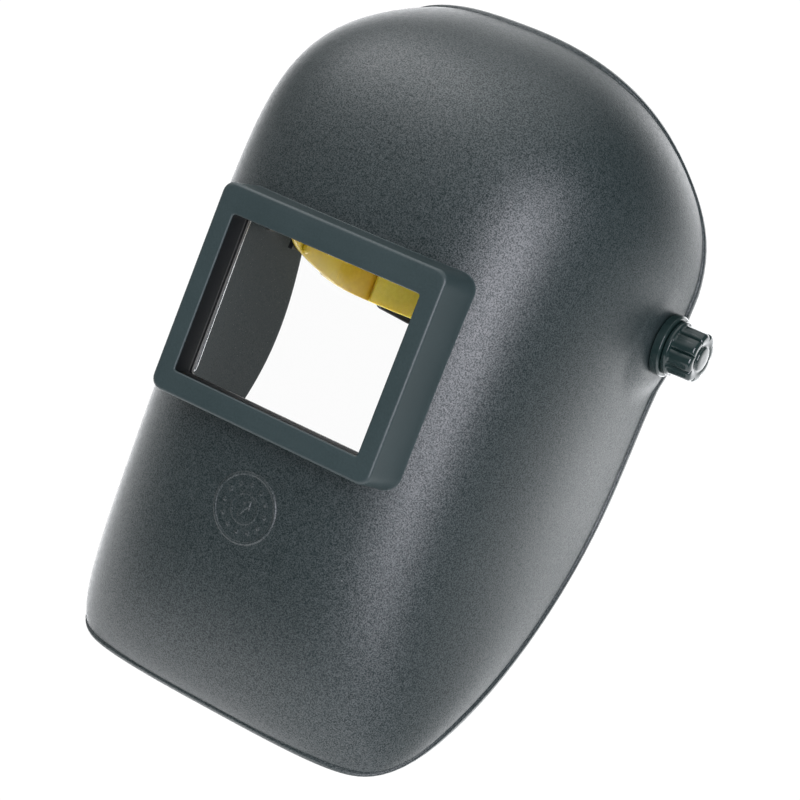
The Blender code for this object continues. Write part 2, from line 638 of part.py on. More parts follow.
STRAP_X = 82.4
for side, sx, inner, x_end in (("left", 1, 2.3, -68.0), ("right", -1, 0.0, -48.0)):
    p = rear_path(0.0, STRAP_X, STRAP_TIP, x_end, 36, inner)
    if sx < 0:
        p = mirror_path(p)
    ys = np.array([q[1] for q in p])
    tip = np.clip((160 - ys) / 15, 0, 1) * 3
    strap = ribbon("rear_strap_" + side, p, band_low(ys) + tip, band_low(ys) + 25 - tip, 1.7, YELLOW_MAT, normal_hint=(0, 170, 20))
    boolean(strap, to_mesh(plate("strap_slot_" + side, [round_rect(30, 7.4, 3.0)], 26, None, (0, 232, 19.5), "Y", cut_coll)))
    smooth(strap)

# curved housing behind the straps
hx, hy = STRAP_X + 2.4, BAND_REAR - BAND_TURN + 1.0 + 2.4
p = []
for k in range(29):
    x = 69.0 - 138.0 * k / 28
    p.append((x, BAND_TURN + hy * math.sqrt(1 - (x / hx) ** 2)))
ys = np.array([q[1] for q in p])
xs = np.array([abs(q[0]) for q in p])
grow = 0.8 + 2.4 * np.clip((69 - xs) / 14, 0, 1)
housing = ribbon("ratchet_housing", p, band_low(ys) - grow, band_low(ys) + 25 + grow, 2.0, BLACK_MAT, normal_hint=(0, 170, 20))
boolean(housing, rod("housing_hole", 9.6, 20, (0, 238, 19.5), "Y", 24, coll=cut_coll))
REAR_OUT = BAND_TURN + hy + 1.0

COVER_Z = 19.5
cover = to_mesh(plate("ratchet_cover", [round_rect(24, 16.5, 9, 5)], 10.0, BLACK_MAT, (0, REAR_OUT + 0.4 + 5.0, COVER_Z), "Y"))
boolean(cover, rod("cover_pocket", 13.0, 9.0, (0, REAR_OUT + 3.4, COVER_Z), "Y", 32, coll=cut_coll))
boolean(cover, rod("cover_bore", 4.4, 30, (0, REAR_OUT + 6, COVER_Z), "Y", 24, coll=cut_coll))
for side, sx in (("left", 1), ("right", -1)):
    boolean(cover, rod("cover_screw_hole_" + side, 1.5, 30, (sx * 18.6, REAR_OUT + 4, COVER_Z), "Y", 12, coll=cut_coll))
    boolean(housing, rod("housing_screw_hole_" + side, 1.5, 20, (sx * 18.6, REAR_OUT - 4, COVER_Z), "Y", 12, coll=cut_coll))
    turned("cover_screw_" + side, [(0, 13.4), (1.6, 13.4), (2.6, 12.7), (2.6, 11.0), (1.2, 11.0), (1.2, -1.0), (0, -1.0)],
           STEEL_MAT, (sx * 18.6, REAR_OUT, COVER_Z), "Y", 12)
smooth(cover, 40)
smooth(housing, 30)

# gear with its ratchet wheel and stub shaft
shaft_y = REAR_OUT + 0.4
gear = to_mesh(plate("ratchet_pinion", [lobed(6.3, 1.3, 10, 4)], 10.0, BLACK_MAT, (0, shaft_y - 4.6, COVER_Z), "Y"))
boolean(gear, to_mesh(plate("pinion_wheel", [lobed(8.8, 0.9, 14, 3)], 4.0, None, (0, shaft_y + 3.6, COVER_Z), "Y", cut_coll)), "UNION")
boolean(gear, rod("pinion_neck", 4.0, 8.0, (0, shaft_y + 1.0, COVER_Z), "Y", 16, coll=cut_coll), "UNION")
boolean(gear, rod("pinion_shaft", 4.0, 13.0, (0, shaft_y + 10.0, COVER_Z), "Y", 16, coll=cut_coll), "UNION")
rk = to_mesh(plate("ratchet_knob", [lobed(20.0, 1.6, 12, 4)], 11.0, BLACK_MAT, (0, REAR_OUT + 10.8 + 3.0 + 5.5, COVER_Z), "Y"))
boolean(rk, rod("knob_socket", 4.4, 8.0, (0, REAR_OUT + 10.8 + 3.0 + 1.0, COVER_Z), "Y", 24, coll=cut_coll))
# springy pawl beside the wheel
pawl = [(9.3, -1.6), (10.0, 1.2), (10.9, 4.2), (11.7, 3.8), (12.1, 0.0), (11.8, -2.8), (10.9, -2.6)]
plate("ratchet_pawl", [pawl], 3.0, STEEL_MAT, (0, shaft_y + 3.6, COVER_Z), "Y")

# soft pad inside the nape
p = []
for k in range(17):
    x = 42.0 - 84.0 * k / 16
    p.append((x, BAND_TURN + 50.0 * math.sqrt(1 - (x / 74.5) ** 2)))
ys = np.array([q[1] for q in p])
nape = ribbon("nape_pad", p, np.full(len(p), 6.0), np.full(len(p), 33.0), 4.0, FOAM_MAT, normal_hint=(0, 170, 20))
smooth(nape)


# ------------------------------------------------------------ crown straps
def crown_path(lift, n=20, x_end=-30.0):
    """Up from the stud beside the temple and over the head, in the plane y = 142."""
    base_x, z0, top = 77.7, 52.0, 135.0
    pts = [(base_x, 27.0), (base_x, 40.0), (base_x, z0)]
    for k in range(1, n + 1):
        a = math.radians(115.0 * k / n)
        w = min(1.0, k / (0.35 * n))
        d = lift * w * w * (3 - 2 * w)
        c, s = math.cos(a), math.sin(a)
        x = math.copysign(abs(c) ** 0.84, c) * (base_x + d)
        z = z0 + abs(s) ** 0.84 * (top - z0 + d)
        pts.append((x, z))
        if x < x_end:
            break
    return pts


for side, sx, lift in (("left", 1, 1.1), ("right", -1, -1.1)):
    q = crown_path(lift)
    n = len(q)
    g = np.zeros((2, n, 3))
    for i, (x, z) in enumerate(q):
        g[0, i] = (sx * x, 132.5, z)
        g[1, i] = (sx * x, 151.5, z)
    bm = grid_mesh("crown_strap_" + side, g, wrap=False)
    bm.normal_update()
    c0 = Vector(out(0, 142, 60))
    if sum(f.normal.dot(f.calc_center_median() - c0) for f in bm.faces) < 0:
        bmesh.ops.reverse_faces(bm, faces=bm.faces)
    st = from_bmesh("crown_strap_" + side, bm, YELLOW_MAT)
    st.data.transform(Matrix.Translation(-Vector(out(0, 142, 36))))
    st.location = out(0, 142, 36)
    s = st.modifiers.new("wall", "SOLIDIFY")
    s.thickness = 1.6 * MM
    s.offset = 0.0
    s.use_even_offset = True
    boolean(st, rod("crown_end_hole_" + side, 3.35, 8, (sx * 77.7, 142, 36), "X", 16, coll=cut_coll))
    for k, x in enumerate((-18.0, 0.0, 18.0)):
        boolean(st, rod("crown_hole_%s_%d" % (side, k), 2.9, 12, (x, 142, 134.0), "Z", 12, coll=cut_coll))
    smooth(st)
turned("crown_peg", [(0, 3.4), (3.4, 3.4), (4.6, 2.6), (4.6, 2.2), (2.4, 2.2), (2.4, -3.4), (1.8, -4.0), (0, -4.0)],
       BLACK_MAT, (0, 142.0, 135.0), "Z", 16)
bpy.context.view_layer.update()

# tilt-stop pieces, knobs and levers keep their origins on their own axes:
# the pivots' turned and extruded pieces are already centred there.
for name, origin in (("shell", (0, PIVOT_BACK, PIVOT_UP)), ("window_frame", (0, PIVOT_BACK, PIVOT_UP))):
    place(bpy.data.objects[name], None, parts_coll, origin)
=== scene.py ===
import json
import math
import bpy
import bmesh
import numpy as np
from mathutils import Matrix, Vector

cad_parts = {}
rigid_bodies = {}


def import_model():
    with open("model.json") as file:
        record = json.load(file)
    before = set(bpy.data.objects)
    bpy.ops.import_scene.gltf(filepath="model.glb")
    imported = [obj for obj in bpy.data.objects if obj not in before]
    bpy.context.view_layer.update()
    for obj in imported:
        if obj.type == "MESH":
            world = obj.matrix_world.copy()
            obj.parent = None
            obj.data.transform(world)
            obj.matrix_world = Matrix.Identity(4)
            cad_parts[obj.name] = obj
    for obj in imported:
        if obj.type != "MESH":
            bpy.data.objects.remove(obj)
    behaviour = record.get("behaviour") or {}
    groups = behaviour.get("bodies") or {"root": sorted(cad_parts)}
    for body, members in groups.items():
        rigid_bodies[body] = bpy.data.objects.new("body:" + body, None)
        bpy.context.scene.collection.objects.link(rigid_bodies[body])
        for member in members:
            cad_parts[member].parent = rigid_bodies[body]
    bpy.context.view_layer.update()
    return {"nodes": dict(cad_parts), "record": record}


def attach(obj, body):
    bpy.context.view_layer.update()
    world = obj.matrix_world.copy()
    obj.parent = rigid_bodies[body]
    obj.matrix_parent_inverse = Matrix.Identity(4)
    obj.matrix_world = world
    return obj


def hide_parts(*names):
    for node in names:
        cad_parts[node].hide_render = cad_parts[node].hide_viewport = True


for ob in list(bpy.data.objects):
    bpy.data.objects.remove(ob, do_unlink=True)
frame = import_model()
SC = bpy.context.scene
SC.view_settings.view_transform = "Standard"

MM = 0.001
PB, PU = 144.4, 52.4        # pivot axis behind the window face, above its centre


def out(x, y, z):
    return (x * MM, (y - PB) * MM, (z - PU) * MM)


def outa(P):
    return (np.asarray(P, float) - np.array([0.0, PB, PU])) * MM


# ======================================================== materials
def new_mat(name):
    m = bpy.data.materials.new(name)
    m.use_nodes = True
    nt = m.node_tree
    return m, nt, nt.nodes["Principled BSDF"]


def node(nt, kind, **kw):
    n = nt.nodes.new(kind)
    for k, v in kw.items():
        setattr(n, k, v)
    return n


def noise(nt, coord, scale, detail=2.0, rough=0.5):
    n = node(nt, "ShaderNodeTexNoise")
    n.inputs["Scale"].default_value = scale
    n.inputs["Detail"].default_value = detail
    n.inputs["Roughness"].default_value = rough
    nt.links.new(coord, n.inputs["Vector"])
    return n


def ramp(nt, src, stops):
    r = node(nt, "ShaderNodeValToRGB")
    e = r.color_ramp.elements
    while len(e) > len(stops):
        e.remove(e[-1])
    while len(e) < len(stops):
        e.new(0.5)
    for el, (p, c) in zip(e, stops):
        el.position = p
        el.color = (c[0], c[1], c[2], 1.0) if hasattr(c, "__len__") else (c, c, c, 1.0)
    nt.links.new(src, r.inputs["Fac"])
    return r


def plastic(name, dark, light, rough=(0.4, 0.5), scale=900.0, bump=0.3, dist=0.00008, big=25.0, big_amt=0.12,
            spec=0.5, coat=0.0, coat_rough=0.1, wear=0.0):
    """Moulded plastic: colour drift, fine texture in bump and roughness."""
    m, nt, b = new_mat(name)
    co = node(nt, "ShaderNodeTexCoord").outputs["Object"]
    fine = noise(nt, co, scale, 2.5, 0.6)
    coarse = noise(nt, co, big, 3.0, 0.55)
    mixv = node(nt, "ShaderNodeMix", data_type="FLOAT")
    mixv.inputs["Factor"].default_value = big_amt
    nt.links.new(fine.outputs["Fac"], mixv.inputs["A"])
    nt.links.new(coarse.outputs["Fac"], mixv.inputs["B"])
    col = ramp(nt, mixv.outputs["Result"], [(0.32, dark), (0.68, light)])
    nt.links.new(col.outputs["Color"], b.inputs["Base Color"])
    rr = node(nt, "ShaderNodeMapRange")
    rr.inputs["From Min"].default_value, rr.inputs["From Max"].default_value = 0.3, 0.7
    rr.inputs["To Min"].default_value, rr.inputs["To Max"].default_value = rough
    nt.links.new(mixv.outputs["Result"], rr.inputs["Value"])
    nt.links.new(rr.outputs["Result"], b.inputs["Roughness"])
    bp = node(nt, "ShaderNodeBump")
    bp.inputs["Strength"].default_value = bump
    bp.inputs["Distance"].default_value = dist
    nt.links.new(fine.outputs["Fac"], bp.inputs["Height"])
    nt.links.new(bp.outputs["Normal"], b.inputs["Normal"])
    b.inputs["Specular IOR Level"].default_value = spec
    b.inputs["Coat Weight"].default_value = coat
    b.inputs["Coat Roughness"].default_value = coat_rough
    return m


def metal(name, colour, rough=(0.22, 0.38), scale=600.0, stretch=(1, 1, 12)):
    m, nt, b = new_mat(name)
    tc = node(nt, "ShaderNodeTexCoord").outputs["Object"]
    mp = node(nt, "ShaderNodeMapping")
    mp.inputs["Scale"].default_value = stretch
    nt.links.new(tc, mp.inputs["Vector"])
    n = noise(nt, mp.outputs["Vector"], scale, 3.0, 0.6)
    col = ramp(nt, n.outputs["Fac"], [(0.3, tuple(c * 0.82 for c in colour)), (0.7, colour)])
    nt.links.new(col.outputs["Color"], b.inputs["Base Color"])
    rr = node(nt, "ShaderNodeMapRange")
    rr.inputs["From Min"].default_value, rr.inputs["From Max"].default_value = 0.3, 0.7
    rr.inputs["To Min"].default_value, rr.inputs["To Max"].default_value = rough
    nt.links.new(n.outputs["Fac"], rr.inputs["Value"])
    nt.links.new(rr.outputs["Result"], b.inputs["Roughness"])
    bp = node(nt, "ShaderNodeBump")
    bp.inputs["Strength"].default_value = 0.15
    bp.inputs["Distance"].default_value = 0.00003
    nt.links.new(n.outputs["Fac"], bp.inputs["Height"])
    nt.links.new(bp.outputs["Normal"], b.inputs["Normal"])
    b.inputs["Metallic"].default_value = 1.0
    return m


def towelling(name, dark, light):
    """Short looped pile over foam: clumps, loops and sheen."""
    m, nt, b = new_mat(name)
    co = node(nt, "ShaderNodeTexCoord").outputs["Object"]
    loops = node(nt, "ShaderNodeTexVoronoi")
    loops.inputs["Scale"].default_value = 900.0
    loops.inputs["Randomness"].default_value = 0.85
    nt.links.new(co, loops.inputs["Vector"])
    clump = noise(nt, co, 160.0, 3.0, 0.6)
    mul = node(nt, "ShaderNodeMath", operation="MULTIPLY")
    nt.links.new(loops.outputs["Distance"], mul.inputs[0])
    nt.links.new(clump.outputs["Fac"], mul.inputs[1])
    col = ramp(nt, mul.outputs["Value"], [(0.05, light), (0.45, dark)])
    nt.links.new(col.outputs["Color"], b.inputs["Base Color"])
    bp = node(nt, "ShaderNodeBump")
    bp.invert = True
    bp.inputs["Strength"].default_value = 0.9
    bp.inputs["Distance"].default_value = 0.0005
    nt.links.new(mul.outputs["Value"], bp.inputs["Height"])
    nt.links.new(bp.outputs["Normal"], b.inputs["Normal"])
    b.inputs["Roughness"].default_value = 0.95
    b.inputs["Sheen Weight"].default_value = 0.35
    b.inputs["Sheen Roughness"].default_value = 0.5
    b.inputs["Specular IOR Level"].default_value = 0.15
    return m


def thread(name, colour):
    m, nt, b = new_mat(name)
    co = node(nt, "ShaderNodeTexCoord").outputs["Object"]
    w = node(nt, "ShaderNodeTexWave")
    w.inputs["Scale"].default_value = 700.0
    w.inputs["Distortion"].default_value = 2.0
    nt.links.new(co, w.inputs["Vector"])
    col = ramp(nt, w.outputs["Fac"], [(0.2, tuple(c * 0.6 for c in colour)), (0.8, colour)])
    nt.links.new(col.outputs["Color"], b.inputs["Base Color"])
    b.inputs["Roughness"].default_value = 0.8
    return m


# grained shell: spark-eroded texture, two sizes of pit
def shell_material(name, dark, light, rough, grain, strength=0.55, level=(0.22, 0.80)):
    m, nt, b = new_mat(name)
    co = node(nt, "ShaderNodeTexCoord").outputs["Object"]
    g1 = noise(nt, co, 1500.0, 2.0, 0.6)
    g2 = noise(nt, co, 430.0, 2.0, 0.5)
    big = noise(nt, co, 14.0, 3.0, 0.5)
    s = node(nt, "ShaderNodeMix", data_type="FLOAT")
    s.inputs["Factor"].default_value = 0.35
    nt.links.new(g1.outputs["Fac"], s.inputs["A"])
    nt.links.new(g2.outputs["Fac"], s.inputs["B"])
    c = node(nt, "ShaderNodeMix", data_type="FLOAT")
    c.inputs["Factor"].default_value = 0.14
    nt.links.new(s.outputs["Result"], c.inputs["A"])
    nt.links.new(big.outputs["Fac"], c.inputs["B"])
    col = ramp(nt, c.outputs["Result"], [(0.36, dark), (0.64, light)])
    dust = node(nt, "ShaderNodeTexVoronoi")
    dust.inputs["Scale"].default_value = 95.0
    nt.links.new(co, dust.inputs["Vector"])
    spot = ramp(nt, dust.outputs["Distance"], [(0.020, 1.0), (0.035, 0.0)])
    few = noise(nt, co, 38.0, 1.0, 0.5)
    keep = ramp(nt, few.outputs["Fac"], [(0.62, 0.0), (0.66, 1.0)])
    both = node(nt, "ShaderNodeMath", operation="MULTIPLY")
    nt.links.new(spot.outputs["Color"], both.inputs[0])
    nt.links.new(keep.outputs["Color"], both.inputs[1])
    dusted = node(nt, "ShaderNodeMix", data_type="RGBA")
    nt.links.new(both.outputs["Value"], dusted.inputs["Factor"])
    nt.links.new(col.outputs["Color"], dusted.inputs["A"])
    dusted.inputs["B"].default_value = (0.16, 0.17, 0.17, 1.0)
    nt.links.new(dusted.outputs["Result"], b.inputs["Base Color"])
    rr = node(nt, "ShaderNodeMapRange")
    rr.inputs["From Min"].default_value, rr.inputs["From Max"].default_value = 0.36, 0.64
    rr.inputs["To Min"].default_value, rr.inputs["To Max"].default_value = rough
    nt.links.new(c.outputs["Result"], rr.inputs["Value"])
    nt.links.new(rr.outputs["Result"], b.inputs["Roughness"])
    bp = node(nt, "ShaderNodeBump")
    bp.inputs["Strength"].default_value = strength
    bp.inputs["Distance"].default_value = grain
    nt.links.new(s.outputs["Result"], bp.inputs["Height"])
    nt.links.new(bp.outputs["Normal"], b.inputs["Normal"])
    glint = node(nt, "ShaderNodeMapRange")           # the tiny pits catch the light unevenly
    glint.inputs["From Min"].default_value, glint.inputs["From Max"].default_value = 0.38, 0.62
    glint.inputs["To Min"].default_value, glint.inputs["To Max"].default_value = level[0], level[1]
    nt.links.new(g1.outputs["Fac"], glint.inputs["Value"])
    nt.links.new(glint.outputs["Result"], b.inputs["Specular IOR Level"])
    return m


M_SHELL = shell_material("shell_grain", (0.0060, 0.0115, 0.0120), (0.0155, 0.0245, 0.0255), (0.34, 0.50), 0.00018, 0.75)
M_FRAME = plastic("frame_satin", (0.0145, 0.0255, 0.0265), (0.0215, 0.035, 0.0365), (0.36, 0.48), 900.0, 0.45, 0.00010, 30.0, 0.35, 0.36)
M_KNOB = plastic("knob_gloss", (0.006, 0.0150, 0.0145), (0.010, 0.021, 0.020), (0.13, 0.20), 300.0, 0.08, 0.00005, 40.0, 0.4, 0.40, 0.0, 0.05)
M_BLACK = plastic("black_moulding", (0.008, 0.009, 0.009), (0.016, 0.017, 0.017), (0.34, 0.50), 800.0, 0.22, 0.00006)
M_YELLOW = plastic("strap_yellow", (0.46, 0.325, 0.006), (0.60, 0.435, 0.014), (0.34, 0.46), 420.0, 0.12, 0.00005, 40.0, 0.45)
# a brighter copy of the strap yellow: painted light for the left rear strap, lighter where light falls on it
M_YELLOW_PAINTED_LIT = plastic("strap_yellow_painted_lit", (0.74, 0.57, 0.070), (0.88, 0.70, 0.120), (0.34, 0.46), 420.0, 0.12, 0.00005, 40.0, 0.45)
for m_, sss in ((M_YELLOW, 0.35), (M_YELLOW_PAINTED_LIT, 0.75)):          # thin coloured plastic lets some light through
    b_ = m_.node_tree.nodes["Principled BSDF"]
    b_.inputs["Subsurface Weight"].default_value = sss
    b_.inputs["Subsurface Radius"].default_value = (1.0, 0.75, 0.12)
    b_.inputs["Subsurface Scale"].default_value = 0.004
M_STEEL = metal("plated_steel", (0.62, 0.63, 0.64))
M_BRASS = metal("turned_brass", (0.62, 0.44, 0.18), (0.2, 0.35))
M_RUBBER = plastic("black_rubber", (0.010, 0.010, 0.010), (0.020, 0.020, 0.020), (0.70, 0.85), 1200.0, 0.30, 0.00008, 60.0, 0.2, 0.3)
M_PAD = towelling("pad_towelling", (0.010, 0.010, 0.011), (0.050, 0.050, 0.054))
M_THREAD = thread("pad_thread", (0.10, 0.10, 0.11))


def clear_material():
    m, nt, b = new_mat("clear_polycarbonate")
    co = node(nt, "ShaderNodeTexCoord").outputs["Object"]
    n = noise(nt, co, 90.0, 4.0, 0.6)
    rr = node(nt, "ShaderNodeMapRange")
    rr.inputs["From Min"].default_value, rr.inputs["From Max"].default_value = 0.3, 0.7
    rr.inputs["To Min"].default_value, rr.inputs["To Max"].default_value = 0.02, 0.06
    nt.links.new(n.outputs["Fac"], rr.inputs["Value"])
    nt.links.new(rr.outputs["Result"], b.inputs["Roughness"])
    b.inputs["Base Color"].default_value = (0.02, 0.022, 0.022, 1)
    b.inputs["Alpha"].default_value = 0.04
    b.inputs["IOR"].default_value = 1.2
    return m


M_CLEAR = clear_material()
M_INNER = shell_material("shell_inner", (0.016, 0.022, 0.022), (0.026, 0.034, 0.034), (0.62, 0.78), 0.00012, 0.30, (0.06, 0.18))
# near-black plastic for the inner walls of the window opening: painted shade where those walls lie in shadow
M_OPENING_SHADE = plastic("opening_painted_shade", (0.0035, 0.0045, 0.0050), (0.0055, 0.0065, 0.0070), (0.60, 0.75), 700.0, 0.15, 0.00004, spec=0.03)


# ======================================================== mesh helpers
def add(name, bm, mat, body, cad=(), smooth_deg=40.0, recalc=True):
    if recalc:
        bmesh.ops.recalc_face_normals(bm, faces=bm.faces)
    me = bpy.data.meshes.new(name)
    bm.to_mesh(me)
    bm.free()
    me.shade_smooth()
    if smooth_deg:
        me.set_sharp_from_angle(angle=math.radians(smooth_deg))
    me.materials.append(mat)
    ob = bpy.data.objects.new(name, me)
    SC.collection.objects.link(ob)
    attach(ob, body)
    if cad:
        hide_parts(*cad)
    return ob


def skin_loops(bm, loops, close_rows=False, cap_start=False, cap_end=False):
    """Quads between successive loops of equal length (each loop closed)."""
    L = np.asarray(loops, float)
    nl, na = L.shape[0], L.shape[1]
    P = outa(L)
    vs = [[bm.verts.new(P[j, i]) for i in range(na)] for j in range(nl)]
    rows = nl if close_rows else nl - 1
    for j in range(rows):
        a, b = vs[j], vs[(j + 1) % nl]
        for i in range(na):
            k = (i + 1) % na
            bm.faces.new((a[i], a[k], b[k], b[i]))
    if cap_start:
        bm.faces.new(vs[0])
    if cap_end:
        bm.faces.new(list(reversed(vs[-1])))
    return vs


def lathe(bm, profile, centre, axis, steps=64):
    """profile [(r, h)] in mm turned about axis through centre (drawing mm); closed if no r is 0."""
    A = {"X": ((0, 1, 0), (0, 0, 1), (1, 0, 0)), "-X": ((0, -1, 0), (0, 0, 1), (-1, 0, 0)),
         "Y": ((-1, 0, 0), (0, 0, 1), (0, 1, 0)), "Z": ((1, 0, 0), (0, 1, 0), (0, 0, 1))}[axis]
    A = np.array(A, float)
    c = np.array(centre, float)
    an = np.linspace(0, 2 * math.pi, steps, endpoint=False)
    prev = None
    first = None
    closed = min(r for r, h in profile) > 1e-6
    rings = []
    for r, h in profile:
        if r < 1e-6:
            rings.append([bm.verts.new(outa(c + A[2] * h))])
        else:
            P = outa(c + np.outer(np.cos(an) * r, A[0]) + np.outer(np.sin(an) * r, A[1]) + A[2] * h)
            rings.append([bm.verts.new(p) for p in P])
    seq = list(zip(rings[:-1], rings[1:])) + ([(rings[-1], rings[0])] if closed else [])
    for a, b in seq:
        for i in range(steps):
            k = (i + 1) % steps
            if len(a) == 1 and len(b) == 1:
                continue
            if len(a) == 1:
                bm.faces.new((a[0], b[k], b[i]))
            elif len(b) == 1:
                bm.faces.new((a[i], a[k], b[0]))
            else:
                bm.faces.new((a[i], a[k], b[k], b[i]))


def round_profile(pts, r, seg=3):
    """Round every marked corner of an open (r, h) profile; pts are (r, h, radius)."""
    res = []
    n = len(pts)
    for i, p in enumerate(pts):
        rad = p[2] if len(p) > 2 else 0.0
        if rad <= 0 or i in (0, n - 1):
            res.append((p[0], p[1]))
            continue
        a, b, c = np.array(pts[i - 1][:2]), np.array(p[:2]), np.array(pts[i + 1][:2])
        u, v = (a - b), (c - b)
        lu, lv = np.linalg.norm(u), np.linalg.norm(v)
        u, v = u / lu, v / lv
        ang = math.acos(max(-1, min(1, float(u @ v))))
        t = min(rad / math.tan(ang / 2), lu * 0.49, lv * 0.49)
        rr = t * math.tan(ang / 2)
        cen = b + (u + v) / np.linalg.norm(u + v) * (rr / math.sin(ang / 2))
        s0, s1 = b + u * t - cen, b + v * t - cen
        for k in range(seg + 1):
            w = k / seg
            d = s0 * (1 - w) + s1 * w
            d = d / np.linalg.norm(d) * rr
            res.append(tuple(cen + d))
    return res


def extrude_outline(bm, pts, y0, y1, plane, centre, edge=0.4, seg=3):
    """Solid between two offsets of an outline, with rounded edges. pts in mm, plane gives axes."""
    A = {"X": ((0, 1, 0), (0, 0, 1), (1, 0, 0)), "-X": ((0, -1, 0), (0, 0, 1), (-1, 0, 0)),
         "Y": ((-1, 0, 0), (0, 0, 1), (0, 1, 0)), "Z": ((1, 0, 0), (0, 1, 0), (0, 0, 1))}[plane]
    A = np.array(A, float)
    c = np.array(centre, float)
    P = np.array(pts, float)
    n = len(P)
    t = np.roll(P, -1, 0) - np.roll(P, 1, 0)
    t /= np.linalg.norm(t, axis=1)[:, None]
    nrm = np.stack([t[:, 1], -t[:, 0]], 1)
    area = 0.5 * np.sum(P[:, 0] * np.roll(P[:, 1], -1) - np.roll(P[:, 0], -1) * P[:, 1])
    if area < 0:
        nrm = -nrm
    loops = []
    hs = [(edge * (1 - math.sin(a)), edge * (1 - math.cos(a))) for a in np.linspace(0, math.pi / 2, seg + 1)]
    rows = [(y0 + dz, -di) for di, dz in hs]
    rows += [(y1 - dz, -di) for di, dz in reversed(hs)]
    for h, ins in rows:
        Q = P + nrm * ins
        loops.append(c + np.outer(Q[:, 0], A[0]) + np.outer(Q[:, 1], A[1]) + A[2] * h)
    skin_loops(bm, loops, cap_start=True, cap_end=True)


# ======================================================== shell surface
STATIONS = [0.0, 0.2, 0.4, 0.6, 0.8, 1.0]
FACE_LINE = [(54, -189), (33, -165), (16.3, -90), (14.5, 40), (31.5, 127), (97, 169.5)]
SIDE_RIM = [(64, -185), (120, -135.5), (168, -49), (168, 21.5), (165.5, 80), (174, 116.5)]
HALF_WIDTH = [81, 105.7, 106.4, 108.6, 112.7, 89.3]
EDGE_STATIONS = [0.0, 0.45, 1.0]
BULGE_X = [3.0, 3.0, 2.5]
BULGE_Y = [2.55, 3.75, 2.35]
WALL = 2.5
CORNER_POWER = 6.0
BOSS_X = 112.0


def spline(knots, values):
    x, y = np.array(knots, float), np.array(values, float)
    n = len(x) - 1
    h = np.diff(x)
    A = np.zeros((n + 1, n + 1))
    b = np.zeros(n + 1)
    for i in range(1, n):
        A[i, i - 1], A[i, i], A[i, i + 1] = h[i - 1], 2 * (h[i - 1] + h[i]), h[i]
        b[i] = 6 * ((y[i + 1] - y[i]) / h[i] - (y[i] - y[i - 1]) / h[i - 1])
    A[0, 0], A[0, 1], A[0, 2] = h[1], -(h[0] + h[1]), h[0]
    A[n, n - 2], A[n, n - 1], A[n, n] = h[n - 1], -(h[n - 2] + h[n - 1]), h[n - 2]
    m = np.linalg.solve(A, b)

    def f(v):
        v = np.asarray(v, float)
        i = np.clip(np.searchsorted(x, v, side="right") - 1, 0, n - 1)
        a, c = x[i + 1] - v, v - x[i]
        return (m[i] * a ** 3 + m[i + 1] * c ** 3) / (6 * h[i]) + (y[i] / h[i] - m[i] * h[i] / 6) * a + (y[i + 1] / h[i] - m[i + 1] * h[i] / 6) * c
    return f


def ease(knots, values):
    def f(v):
        v = np.asarray(v, float)
        lo = np.clip((v - knots[0]) / (knots[1] - knots[0]), 0, 1)
        hi = np.clip((v - knots[1]) / (knots[2] - knots[1]), 0, 1)
        lo, hi = lo * lo * (3 - 2 * lo), hi * hi * (3 - 2 * hi)
        return values[0] + (values[1] - values[0]) * lo + (values[2] - values[1]) * hi
    return f


F_Y = spline(STATIONS, [p[0] for p in FACE_LINE])
F_Z = spline(STATIONS, [p[1] for p in FACE_LINE])
R_Y = spline(STATIONS, [p[0] for p in SIDE_RIM])
R_Z = spline(STATIONS, [p[1] for p in SIDE_RIM])
H_W = spline(STATIONS, HALF_WIDTH)
B_X = ease(EDGE_STATIONS, BULGE_X)
B_Y = ease(EDGE_STATIONS, BULGE_Y)


def shell_point(U, V):
    U, V = np.asarray(U, float), np.asarray(V, float)
    t = np.clip(np.abs(U), 0, 1) * math.pi / 2
    x = np.sign(U) * H_W(V) * np.abs(np.sin(t)) ** (2 / B_X(V))
    h = 1 - np.abs(np.cos(t)) ** (2 / B_Y(V))
    y = F_Y(V) + (R_Y(V) - F_Y(V)) * h
    z = F_Z(V) + (R_Z(V) - F_Z(V)) * h
    r = np.hypot(y - PB, z - PU)
    w = np.clip((32 - r) / 14, 0, 1)
    w = w * w * (3 - 2 * w) * (np.abs(x) > 90)
    x = x + (np.sign(x) * BOSS_X - x) * w
    return np.stack([x, y, z], -1)


def shell_uv(x, z):
    x, z = np.asarray(x, float), np.asarray(z, float)
    lo, hi = np.full(x.shape, 0.08), np.full(x.shape, 0.92)
    for _ in range(50):
        v = (lo + hi) / 2
        t = np.arcsin(np.clip(np.abs(x) / H_W(v), 0, 1) ** (B_X(v) / 2))
        h = 1 - np.cos(t) ** (2 / B_Y(v))
        up = F_Z(v) + (R_Z(v) - F_Z(v)) * h > z
        hi, lo = np.where(up, v, hi), np.where(up, lo, v)
    v = (lo + hi) / 2
    t = np.arcsin(np.clip(np.abs(x) / H_W(v), 0, 1) ** (B_X(v) / 2))
    return np.sign(x) * t / (math.pi / 2), v


def shell_front(x, z):
    u, v = shell_uv(x, z)
    return shell_point(u, v)[..., 1]


def shell_normal_xz(x, z):
    e = 0.25
    x, z = np.asarray(x, float), np.asarray(z, float)
    fx = (shell_front(x + e, z) - shell_front(x - e, z)) / (2 * e)
    fz = (shell_front(x, z + e) - shell_front(x, z - e)) / (2 * e)
    n = np.stack([fx, -np.ones_like(fx), fz], -1)
    return n / np.linalg.norm(n, axis=-1, keepdims=True)


